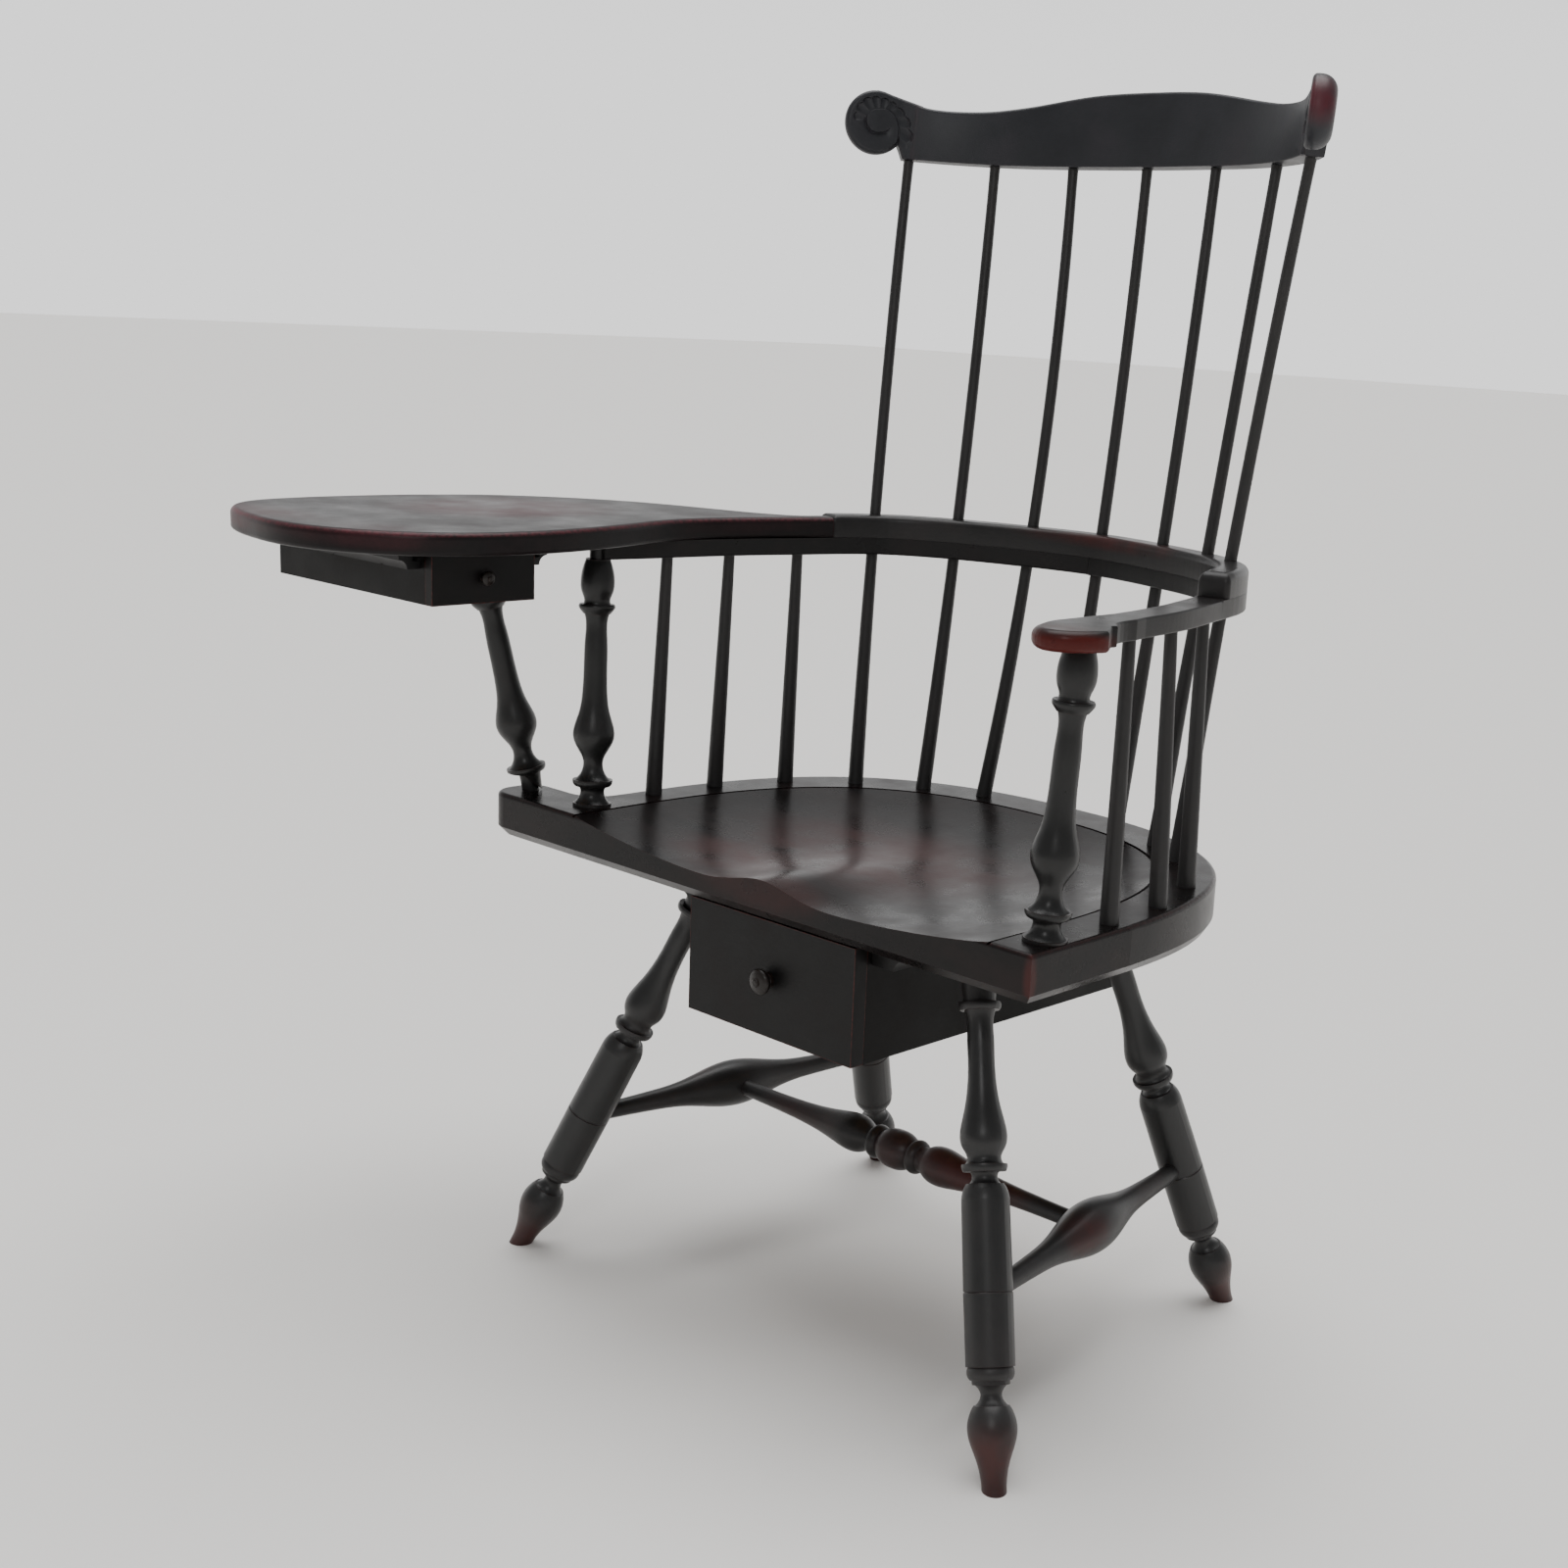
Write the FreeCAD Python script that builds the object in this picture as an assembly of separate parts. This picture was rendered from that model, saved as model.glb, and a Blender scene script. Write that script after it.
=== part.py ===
import FreeCAD, Part
import math
import os

os.makedirs("parts", exist_ok=True)

# A writing arm windsor chair: a plank seat on four raked turned legs, a sawn arm with
# a doubled crest at the back, seven long spindles up to a carved comb rail, and a broad
# writing tablet over the right arm.  One drawer hangs under the seat, one under the tablet.
# X runs to the sitter's left, Y to the back, Z up.  While the pieces are made, X is zero
# on the chair's middle plane, Y on the seat's front edge and Z on the floor.

# Fits shared by all pieces, in mm
glue_gap = 0.1          # around every glued tenon and between glued faces
slide_gap = 0.4         # around everything that slides
overrun = 20.0          # how far cutting tools run past what they cut
trim_span = 1600.0      # side of the large boxes that trim pieces to a plane

# Seat plank
seat_height = 440.0
seat_thickness = 42.0
seat_half_width = 300.0
seat_depth = 420.0
seat_top_round = 4.0
seat_bevel_height = 9.0
seat_side_power = 2.4   # roundness of the plan outline across the seat
seat_back_power = 3.4   # and along it
wing_reach = 386.0      # from the middle plane to the end of the wing for the tablet post
wing_width = 57.0
wing_end_round = 24.0
wing_inner_round = 30.0

# Hollowed seat
saddle_depth = 19.0
saddle_half_width = 256.0
saddle_length = 368.0
pommel_rise_share = 0.66
pommel_half_width = 46.0
pommel_length = 130.0
gutter_width = 3.0
gutter_depth = 2.4
gutter_inner_share = 0.73

# Legs: places of the axes on the floor and at the seat's underside
leg_radius = 20.5
leg_turned_share = 1.0041   # turned length as a share of the front leg's axis
leg_tenon_radius = 11.0
leg_tenon_depth = 18.0
front_foot_x = 309.7
front_foot_y = -15.9
front_top_x = 160.6
front_top_y = 98.8
rear_foot_x = 230.6
rear_foot_y = 408.7
rear_top_x = 157.9
rear_top_y = 268.0
rear_leg_trim = 3.9

# Stretchers
stretcher_place_share = 0.3476  # of the front leg's axis, from the floor
side_stretcher_radius = 23.0
side_swell_share = 0.49
side_tenon_radius = 6.5
side_tenon_depth = 14.0
medial_radius = 19.0
medial_tenon_radius = 6.5
medial_tenon_depth = 14.0

# Arm, crest and the posts and spindles that carry them
arm_rise = 230.5        # from the seat's top to the arm's underside
arm_thickness = 16.5
arm_width = 29.0
arm_edge_round = 2.0
long_edge_share = 1.2   # edges longer than this share of the arm's width run lengthwise
crest_thickness = 21.8
crest_top_round = 5.0
crest_end_y = 279.0      # where it ends on the sitter's left
crest_tail_y = 295.0     # and where it meets the tablet's tail
crest_end_round = 9.0
arm_half_span = 288.0
arm_back_y = 430.0
arm_front_y = 50.0
hand_length = 122.0
hand_start_share = 0.6  # where the hand's outline takes over from the arm's
hand_width = 61.0
tablet_arm_front_y = 22.0

post_radius = 19.3
post_turned_share = 0.9943      # turned length as a share of the post's axis
post_tenon_radius = 8.0
post_seat_depth = 22.0
post_arm_depth = 11.0
post_foot_x = 278.6
post_foot_y = 40.6
post_top_x = 286.2
post_top_y = 50.5
tablet_post_foot_x = -362.0
tablet_post_foot_y = 32.0
tablet_post_top_x = -392.0
tablet_post_top_y = -13.0
tablet_post_depth = 12.0

short_seat_radius = 8.0
short_arm_radius = 5.3
short_tenon_radius = 4.6
short_seat_depth = 20.0
short_arm_depth = 11.0
long_seat_radius = 7.6
long_arm_radius = 5.7
long_comb_radius = 5.0
long_tenon_radius = 4.6
long_comb_tenon_radius = 3.8
long_seat_depth = 20.0
long_comb_depth = 18.0
long_steps = 8          # stretches between the sections of a long spindle

# Comb rail, laid out along the arc length of its plan curve
comb_rise = 607.6       # from the seat's top to the comb's lower edge
comb_back_y = 463.8
comb_thickness = 20.0
comb_height = 67.4
comb_half_length = 259.5
comb_mid_radius = 560.0
comb_mid_half = 105.0
comb_end_radius = 235.0
comb_droop = 5.9
comb_lean = 5.4         # degrees
comb_edge_round = 4.0
ear_radius = 31.0
ear_thickness = 22.0
ear_reach = 288.0       # along the comb's curve to the middle of an ear
ear_rise = 26.7
ear_front_round = 3.0
ear_back_round = 14.0
volute_groove = 2.4
volute_depth = 1.6
volute_turns = 1.3
volute_start = -50.0    # degrees from the comb's far side
volute_shares = (0.84, 0.46)    # first distance from the eye, and how much of it is lost
flute_count = 9
flute_radius = 4.0
flute_depth = 1.3
flute_first = 150.0     # degrees round the ear
flute_sweep = 140.0
flute_shares = (0.58, 0.82)     # its inner and outer ends from the ear's middle

# Writing tablet
tablet_thickness = 20.0
tablet_top_round = 6.0
tablet_bottom_round = 3.5
tablet_width = 328.0
tablet_length = 546.0
tablet_inner_x = -216.0
tablet_tail_y = 307.0

# Seat drawer and its runners
seat_drawer_width = 205.2
seat_drawer_length = 356.0
seat_drawer_front_y = 12.4
seat_drawer_gap = 3.0           # between the front's top and the seat
seat_drawer_front_height = 104.2
seat_drawer_side_drop = 1.2     # how far the sides stop short of the front's top
seat_cleat_height = 20.0
seat_cleat_length = 330.0
seat_cleat_setback = 20.0
seat_cleat_width = 36.0
seat_drawer_wall = 10.0
seat_drawer_front_wall = 15.0
seat_drawer_panel = 6.0
seat_knob_radius = 11.5
seat_knob_length = 17.0
seat_knob_tenon_radius = 4.5

# Tablet drawer and its runners
tablet_drawer_width = 106.0
tablet_drawer_length = 246.0
tablet_drawer_corner_x = -261.0
tablet_drawer_corner_y = -148.0
tablet_drawer_gap = 1.0         # between the front's top and the tablet
tablet_drawer_turn = -0.75      # degrees from square with the chair
tablet_drawer_front_height = 44.5
tablet_drawer_side_drop = 3.0
tablet_cleat_height = 15.0
front_cleat_length = 232.0
front_cleat_setback = 17.0
front_cleat_width = 21.0
rear_cleat_length = 240.0
rear_cleat_setback = 2.0
rear_cleat_width = 14.5
tablet_drawer_wall = 7.0
tablet_drawer_front_wall = 10.0
tablet_drawer_panel = 4.0
tablet_knob_radius = 6.5
tablet_knob_length = 10.5
tablet_knob_tenon_radius = 3.0

# Shared by both drawers
strip_width = 6.5
strip_height = 4.0
cleat_cove_share = 0.55
bottom_rise = 3.0
bottom_groove = 3.0
screw_head_radius = 3.2
screw_head_height = 2.2
screw_radius = 1.8
screw_bite = 9.0
screw_count = 3

# Turnings, as runs of (share of the turned length, share of the largest radius)
leg_shares = (
    ((0.0, 0.50), (0.029, 0.55), (0.059, 0.72), (0.084, 0.91), (0.113, 0.99), (0.131, 0.91),
     (0.149, 0.72)),
    ((0.149, 0.66), (0.158, 0.49), (0.168, 0.427), (0.177, 0.49), (0.186, 0.66)),
    ((0.186, 0.755), (0.194, 0.77)),
    ((0.194, 0.84), (0.202, 0.94), (0.209, 0.955), (0.218, 0.90)),
    ((0.218, 0.99), (0.349, 1.0)),
    ((0.349, 1.0), (0.351, 0.965)),
    ((0.351, 0.965), (0.353, 1.0)),
    ((0.353, 1.0), (0.519, 0.975)),
    ((0.519, 0.975), (0.532, 0.92), (0.541, 0.84), (0.547, 0.76)),
    ((0.547, 0.66), (0.555, 0.53), (0.562, 0.52), (0.569, 0.60)),
    ((0.569, 0.86), (0.576, 0.925), (0.583, 0.925)),
    ((0.583, 0.80), (0.590, 0.70), (0.598, 0.70), (0.615, 0.88), (0.634, 0.96), (0.655, 0.90),
     (0.69, 0.72), (0.73, 0.59), (0.77, 0.545), (0.82, 0.545), (0.858, 0.565), (0.869, 0.64)),
    ((0.869, 0.80), (0.876, 0.88), (0.884, 0.86)),
    ((0.884, 0.66), (0.91, 0.70), (0.95, 0.79), (1.0, 0.82)),
)
post_shares = (
    ((0.0, 0.93), (0.010, 0.93)),
    ((0.010, 0.86), (0.030, 0.66), (0.050, 0.575), (0.068, 0.60), (0.080, 0.74)),
    ((0.080, 0.86), (0.094, 0.96), (0.106, 0.96)),
    ((0.106, 0.86), (0.122, 0.66), (0.150, 0.50), (0.185, 0.485), (0.225, 0.70), (0.262, 0.93),
     (0.293, 1.0), (0.33, 0.93), (0.39, 0.72), (0.46, 0.605), (0.56, 0.565), (0.68, 0.54),
     (0.765, 0.54), (0.785, 0.60)),
    ((0.785, 0.66), (0.800, 0.80), (0.814, 0.875), (0.824, 0.83)),
    ((0.824, 0.66), (0.838, 0.62), (0.870, 0.74), (0.912, 0.81), (0.95, 0.77), (1.0, 0.60)),
)
tablet_post_skip_share = 0.075
side_stretcher_shares = (
    ((0.0, 0.35), (0.10, 0.37), (0.20, 0.42), (0.30, 0.53), (0.38, 0.76), (0.44, 0.94), (0.49, 1.0),
     (0.54, 0.94), (0.60, 0.76), (0.68, 0.53), (0.78, 0.42), (0.90, 0.37), (1.0, 0.35)),
)
medial_half_shares = (
    ((0.0, 1.0), (0.016, 0.97), (0.030, 0.85), (0.041, 0.66)),
    ((0.041, 0.66), (0.047, 0.80), (0.055, 0.86), (0.063, 0.80), (0.069, 0.64)),
    ((0.069, 0.64), (0.078, 0.66), (0.096, 0.86), (0.118, 0.97), (0.15, 0.90), (0.20, 0.70),
     (0.27, 0.53), (0.35, 0.45), (0.42, 0.42), (0.5, 0.41)),
)
knob_shares = (
    ((0.0, 0.62), (0.12, 0.62)),
    ((0.12, 0.50), (0.24, 0.46), (0.38, 0.62)),
    ((0.38, 0.78), (0.50, 0.97), (0.62, 1.0), (0.74, 0.90), (0.84, 0.62), (0.88, 0.40)),
    ((0.88, 0.34), (0.96, 0.30), (1.0, 0.16)),
)

# Plan and elevation outlines
arm_line_shares = ((1.0, 0.0), (0.957, 0.195), (0.92, 0.376), (0.852, 0.565), (0.75, 0.772),
                   (0.53, 0.898), (0.285, 0.962), (0.0, 1.0))
hand_inner_shares = ((0.0, 0.0), (0.23, 0.0), (0.475, 0.0), (0.68, 0.01), (0.83, 0.065),
                     (0.94, 0.21), (1.0, 0.46), (0.967, 0.72), (0.86, 0.92), (0.68, 1.0))
hand_notch_shares = (0.49, 0.74)
hand_hollow_shares = ((0.445, 0.76), (0.385, 0.65), (0.30, 0.575), (0.20, 0.54), (0.10, 0.53))
tablet_shares = ((0.082, 1.0), (0.096, 0.96), (0.112, 0.935), (0.15, 0.915), (0.206, 0.895),
                 (0.321, 0.869), (0.452, 0.843), (0.578, 0.811), (0.686, 0.769), (0.777, 0.72),
                 (0.856, 0.663), (0.917, 0.603), (0.957, 0.531), (0.984, 0.459), (0.997, 0.381),
                 (1.0, 0.304), (0.99, 0.224), (0.963, 0.155), (0.906, 0.099), (0.814, 0.058),
                 (0.707, 0.033), (0.589, 0.017), (0.403, 0.01), (0.21, 0.053), (0.074, 0.135),
                 (0.006, 0.273), (0.019, 0.407), (0.067, 0.53), (0.116, 0.639), (0.122, 0.712),
                 (0.104, 0.786), (0.038, 0.931), (0.006, 0.984))
long_seat_shares = (-1.0, -0.723, -0.433, -0.007, 0.375, 0.699, 0.93)
long_arm_shares = (-0.442, -0.289, -0.142, 0.002, 0.160, 0.292, 0.385)
long_comb_shares = (-0.995, -0.659, -0.332, 0.0, 0.329, 0.667, 1.0)
short_seat_shares = ((0.937, 0.281), (0.916, 0.455), (0.835, 0.629))
short_arm_shares = (0.196, 0.377, 0.566)
long_seat_half = 204.8
long_seat_middle_y = 396.0
long_seat_end_y = 319.5
long_seat_power = 2.3
long_comb_reach = 254.0
comb_top_shares = ((0.0, 1.0), (0.23, 0.97), (0.42, 0.867), (0.58, 0.757), (0.74, 0.669),
                   (0.84, 0.656), (0.93, 0.675), (1.0, 0.735))
neck_shares = ((1.0, 0.735, 0.18), (1.035, 0.80, 0.18), (1.06, 0.85, 0.18))

# Values worked out from the ones above
seat_underside = seat_height - seat_thickness
arm_height = seat_height + arm_rise
arm_top = arm_height + arm_thickness
crest_top = arm_top + crest_thickness
tablet_top = arm_top + tablet_thickness
comb_bottom = seat_height + comb_rise
seat_drawer_bottom = seat_underside - seat_drawer_gap - seat_drawer_front_height
tablet_drawer_bottom = arm_top - tablet_drawer_gap - tablet_drawer_front_height


def point(x, y, z=0.0):
    return FreeCAD.Vector(x, y, z)


def curve_edge(points, closed=False):
    curve = Part.BSplineCurve()
    curve.interpolate(points, PeriodicFlag=closed)
    return curve.toShape()


def line_edge(start, end):
    return Part.LineSegment(start, end).toShape()


def chain(runs):
    """Join runs of points into edges: two points make a line, more make a smooth curve."""
    edges = []
    last = None
    for run in runs:
        if last is not None and last.distanceToPoint(run[0]) > glue_gap / 100:
            edges.append(line_edge(last, run[0]))
        if len(run) == 2:
            edges.append(line_edge(run[0], run[1]))
        else:
            edges.append(curve_edge(run))
        last = run[-1]
    return edges


def place(shape, start, end):
    """Stand a shape made along Z on the line from start to end."""
    turn = FreeCAD.Rotation(point(0, 0, 1), end.sub(start))
    shape.Placement = FreeCAD.Placement(start, turn)
    return shape


def turning(runs, start, end, low=0.0, high=0.0):
    """Revolve runs of (place, radius), with straight stubs past both ends, on an axis."""
    points = [[point(radius, 0, along) for along, radius in run] for run in runs]
    first = points[0][0]
    last = points[-1][-1]
    if low > 0:
        points.insert(0, [point(first.x, 0, first.z - low), first])
    if high > 0:
        points.append([last, point(last.x, 0, last.z + high)])
    bottom = point(0, 0, points[0][0].z)
    top = point(0, 0, points[-1][-1].z)
    edges = chain([[bottom, points[0][0]]] + points + [[points[-1][-1], top]])
    edges.append(line_edge(top, bottom))
    face = Part.Face(Part.Wire(edges))
    return place(face.revolve(point(0, 0, 0), point(0, 0, 1), 360), start, end)


def scaled(shares, length, radius, shift=0.0):
    return [[(share * length + shift, part * radius) for share, part in run] for run in shares]


def rod(start, end, radius, low=0.0, high=0.0):
    length = end.sub(start).Length
    body = Part.makeCylinder(radius, length + low + high, point(0, 0, -low))
    return place(body, start, end)


def between(shape, low, high):
    """Keep what lies between two heights."""
    box = Part.makeBox(trim_span, trim_span, high - low)
    box.translate(point(-trim_span / 2, -trim_span / 2, low))
    return shape.common(box)


def along(start, end, distance):
    step = end.sub(start)
    step.normalize()
    return start.add(step.multiply(distance))


def one_solid(shape):
    return shape.Solids[0] if len(shape.Solids) == 1 else shape


def prism(wire, low, high):
    face = Part.Face(wire)
    face.translate(point(0, 0, low))
    return face.extrude(point(0, 0, high - low))


def edges_at(shape, height):
    """Edges that lie wholly at one height."""
    found = []
    for edge in shape.Edges:
        box = edge.BoundBox
        if abs(box.ZMin - height) < glue_gap / 10 and abs(box.ZMax - height) < glue_gap / 10:
            found.append(edge)
    return found


# Seat
def rounded_outline(half_width, depth, side, steps=12):
    """Points of the plan curve from the front corner to the middle of the back."""
    points = []
    for step in range(steps + 1):
        angle = math.pi / 2 * step / steps
        x = side * half_width * math.cos(angle) ** (2 / seat_side_power)
        y = depth * math.sin(angle) ** (2 / seat_back_power)
        points.append(point(x, y))
    return points


def seat_wire():
    right_hand = rounded_outline(seat_half_width, seat_depth, 1)
    back = right_hand[1:] + rounded_outline(seat_half_width, seat_depth, -1)[1:-1][::-1]
    corner = point(-seat_half_width, wing_width + wing_inner_round)
    swing = wing_inner_round * math.sqrt(0.5)
    inner_middle = point(-seat_half_width - wing_inner_round + swing, corner.y - swing)
    inner_end = point(-seat_half_width - wing_inner_round, wing_width)
    tip_back = point(-wing_reach + wing_end_round, wing_width)
    tip_front = point(-wing_reach + wing_end_round, 0)
    turn = wing_end_round * math.sqrt(0.5)
    edges = [line_edge(right_hand[0], back[0]), curve_edge(back)]
    edges.append(line_edge(back[-1], corner))
    edges.append(Part.Arc(corner, inner_middle, inner_end).toShape())
    edges.append(line_edge(inner_end, tip_back))
    high = point(-wing_reach, wing_width - wing_end_round)
    low = point(-wing_reach, wing_end_round)
    high_middle = point(tip_back.x - turn, wing_width - wing_end_round + turn)
    low_middle = point(tip_front.x - turn, wing_end_round - turn)
    edges.append(Part.Arc(tip_back, high_middle, high).toShape())
    edges.append(line_edge(high, low))
    edges.append(Part.Arc(low, low_middle, tip_front).toShape())
    edges.append(line_edge(tip_front, right_hand[0]))
    return Part.Wire(edges)


def saddle_drop(x, y):
    """Depth of the hollow below the seat's flat rim; below zero outside it."""
    across = abs(x / saddle_half_width) ** seat_side_power
    back = max(y / saddle_length, 0) ** seat_back_power
    pommel = math.exp(-(x / pommel_half_width) ** 2 - (y / pommel_length) ** 2)
    return saddle_depth * (1 - across - back) * (1 - pommel_rise_share * pommel)


def saddle_tool(columns=33, rows=25):
    span = saddle_half_width + overrun
    reach = saddle_length + 2 * overrun
    grid = []
    for column in range(columns):
        x = -span + 2 * span * column / (columns - 1)
        line = []
        for row in range(rows):
            y = -overrun + reach * row / (rows - 1)
            line.append(point(x, y, seat_height - saddle_drop(x, y)))
        grid.append(line)
    surface = Part.BSplineSurface()
    surface.interpolate(grid)
    return surface.toShape().extrude(point(0, 0, seat_thickness))


def gutter_ring(half_width, depth):
    points = rounded_outline(half_width, depth, 1)[:-1]
    points = points + rounded_outline(half_width, depth, -1)[::-1]
    front_left = point(-half_width, -overrun)
    front_right = point(half_width, -overrun)
    edges = [line_edge(front_right, points[0]), curve_edge(points)]
    edges.append(line_edge(points[-1], front_left))
    edges.append(line_edge(front_left, front_right))
    return prism(Part.Wire(edges), seat_height - gutter_depth, seat_height + overrun)


def make_seat(sockets):
    body = prism(seat_wire(), seat_underside, seat_height)
    body = body.makeChamfer(seat_bevel_height, edges_at(body, seat_underside))
    body = body.makeFillet(seat_top_round, edges_at(body, seat_height))
    body = body.cut(saddle_tool())
    inset = gutter_width * gutter_inner_share
    outer = gutter_ring(saddle_half_width + gutter_width - inset, saddle_length + gutter_width - inset)
    inner = gutter_ring(saddle_half_width - inset, saddle_length - inset)
    body = body.cut(outer.cut(inner))
    return one_solid(body.cut(sockets))


# Legs and stretchers
def leg_axis(front, side):
    if front:
        return (point(side * front_foot_x, front_foot_y, 0),
                point(side * front_top_x, front_top_y, seat_underside))
    return (point(side * rear_foot_x, rear_foot_y, 0),
            point(side * rear_top_x, rear_top_y, seat_underside))


def along_legs(share):
    """A share of the front legs' axis, used for the rear legs too: all four are turned alike."""
    foot, top = leg_axis(True, 1)
    return share * top.sub(foot).Length


def leg_body(front, side):
    foot, top = leg_axis(front, side)
    shift = 0.0 if front else -rear_leg_trim
    runs = scaled(leg_shares, along_legs(leg_turned_share), leg_radius, shift)
    body = turning(runs, foot, top, overrun, overrun)
    body = between(body, 0, seat_underside - glue_gap)
    length = top.sub(foot).Length
    tenon = rod(along(foot, top, length - overrun), along(foot, top, length + leg_tenon_depth),
                leg_tenon_radius)
    return body.fuse(tenon)


def leg_socket(front, side):
    foot, top = leg_axis(front, side)
    length = top.sub(foot).Length
    return rod(along(foot, top, length - overrun),
               along(foot, top, length + leg_tenon_depth + glue_gap), leg_tenon_radius + glue_gap)


def side_stretcher_axis(side):
    height = along_legs(stretcher_place_share)
    return along(*leg_axis(True, side), height), along(*leg_axis(False, side), height)


def side_body(side, grow=0.0):
    start, end = side_stretcher_axis(side)
    length = end.sub(start).Length
    runs = scaled(side_stretcher_shares, length, side_stretcher_radius)
    runs = [[(place_, radius + grow) for place_, radius in run] for run in runs]
    return turning(runs, start, end)


def medial_axis():
    ends = []
    for side in (-1, 1):
        start, end = side_stretcher_axis(side)
        ends.append(along(start, end, end.sub(start).Length * side_swell_share))
    return ends


def stretcher_tenon(start, end, carrier_radius, radius, depth, grow=0.0):
    """A tenon on the line from start to end, let into the round carrier at start."""
    return rod(along(start, end, carrier_radius - depth - grow),
               along(start, end, carrier_radius + overrun / 2), radius + grow)


def make_side_stretcher(side):
    start, end = side_stretcher_axis(side)
    body = side_body(side)
    for front in (True, False):
        foot, top = leg_axis(front, side)
        body = body.cut(rod(foot, top, leg_radius + glue_gap))
    for near, far in ((start, end), (end, start)):
        body = body.fuse(stretcher_tenon(near, far, leg_radius, side_tenon_radius, side_tenon_depth))
    left, right = medial_axis()
    near, far = (left, right) if side < 0 else (right, left)
    socket = stretcher_tenon(near, far, side_stretcher_radius, medial_tenon_radius,
                             medial_tenon_depth, glue_gap)
    return one_solid(body.cut(socket))


def make_leg(front, side):
    body = leg_body(front, side)
    start, end = side_stretcher_axis(side)
    near, far = (start, end) if front else (end, start)
    socket = stretcher_tenon(near, far, leg_radius, side_tenon_radius, side_tenon_depth, glue_gap)
    return one_solid(body.cut(socket))


def make_medial_stretcher():
    left, right = medial_axis()
    middle = left.add(right).multiply(0.5)
    length = right.sub(left).Length
    runs = scaled(medial_half_shares, length, medial_radius)
    halves = [turning(runs, middle, right), turning(runs, middle, left)]
    body = halves[0].fuse(halves[1])
    for side in (-1, 1):
        body = body.cut(side_body(side, glue_gap))
    for near, far in ((left, right), (right, left)):
        body = body.fuse(stretcher_tenon(near, far, side_stretcher_radius, medial_tenon_radius,
                                         medial_tenon_depth))
    return one_solid(body.removeSplitter())


# Posts and spindles
def post_axis(side):
    return (point(side * post_foot_x, post_foot_y, seat_height),
            point(side * post_top_x, post_top_y, arm_height))


def tablet_post_axis():
    return (point(tablet_post_foot_x, tablet_post_foot_y, seat_height),
            point(tablet_post_top_x, tablet_post_top_y, arm_top))


def tenoned(body, foot, top, low_depth, high_depth, radius):
    tenon = rod(foot, top, radius, low_depth, high_depth)
    return one_solid(body.fuse(tenon))


def post_turned_length():
    foot, top = post_axis(1)
    return post_turned_share * top.sub(foot).Length


def make_arm_post(side):
    foot, top = post_axis(side)
    runs = scaled(post_shares, post_turned_length(), post_radius)
    body = turning(runs, foot, top, overrun, overrun)
    body = between(body, seat_height + glue_gap, arm_height - glue_gap)
    return tenoned(body, foot, top, post_seat_depth, post_arm_depth, post_tenon_radius)


def make_tablet_post():
    foot, top = tablet_post_axis()
    length = top.sub(foot).Length
    turned = post_turned_length()
    runs = scaled(post_shares[1:], turned, post_radius, -tablet_post_skip_share * turned)
    body = turning(runs, foot, top, overrun, length - runs[-1][-1][0] + overrun)
    body = between(body, seat_height + glue_gap, arm_top - glue_gap)
    return tenoned(body, foot, top, post_seat_depth, tablet_post_depth, post_tenon_radius)


def short_axis(side, number):
    across, back = short_seat_shares[number]
    foot = point(side * across * seat_half_width, back * seat_depth, seat_height)
    arm_y = arm_front_y + short_arm_shares[number] * (arm_back_y - arm_front_y)
    spot = arm_curve().value(arm_place_at(arm_y, side))
    return foot, point(spot.x, spot.y, arm_height)


def make_short_spindle(side, number):
    foot, top = short_axis(side, number)
    length = top.sub(foot).Length
    runs = [[(0.0, short_seat_radius), (length, short_arm_radius)]]
    body = turning(runs, foot, top, overrun, overrun)
    body = between(body, seat_height + glue_gap, arm_height - glue_gap)
    tenon = rod(foot, top, short_tenon_radius, short_seat_depth, short_arm_depth)
    return one_solid(body.fuse(tenon))


def comb_place(reach):
    """Plan point and heading of the comb's middle line at a reach along its curve."""
    side = 1 if reach >= 0 else -1
    reach = abs(reach)
    mid_angle = math.asin(comb_mid_half / comb_mid_radius)
    mid_reach = comb_mid_radius * mid_angle
    if reach < mid_reach:
        angle = reach / comb_mid_radius
        x = comb_mid_radius * math.sin(angle)
        drop = comb_mid_radius * (1 - math.cos(angle))
    else:
        angle = mid_angle + (reach - mid_reach) / comb_end_radius
        x = comb_mid_half + comb_end_radius * (math.sin(angle) - math.sin(mid_angle))
        drop = comb_mid_radius * (1 - math.cos(mid_angle))
        drop += comb_end_radius * (math.cos(mid_angle) - math.cos(angle))
    return side * x, -drop, side * angle


def lean_back(shape):
    """Set what was made upright at the comb's own origin into its place."""
    turn = FreeCAD.Rotation(point(1, 0, 0), -comb_lean)
    shape.Placement = FreeCAD.Placement(point(0, comb_back_y, comb_bottom), turn)
    return shape


def comb_bottom_at(reach):
    return -comb_droop * (reach / comb_half_length) ** 2


def comb_world(reach, rise):
    x, y, heading = comb_place(reach)
    turn = FreeCAD.Rotation(point(1, 0, 0), -comb_lean)
    return turn.multVec(point(x, y, rise)).add(point(0, comb_back_y, comb_bottom))


def long_line(number):
    """Middle line of a long spindle, sprung through the seat, the arm and the comb."""
    seat_share = long_seat_shares[number]
    fall = (long_seat_middle_y - long_seat_end_y) * abs(seat_share) ** long_seat_power
    foot = point(seat_share * long_seat_half, long_seat_middle_y - fall, seat_height)
    arm = arm_curve()
    middle = (arm.FirstParameter + arm.LastParameter) / 2
    half = (arm.LastParameter - arm.FirstParameter) / 2
    spot = arm.value(middle - half * long_arm_shares[number])
    reach = long_comb_shares[number] * long_comb_reach
    line = Part.BSplineCurve()
    line.interpolate([foot, point(spot.x, spot.y, arm_top), comb_world(reach, comb_bottom_at(reach))])
    return line


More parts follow.
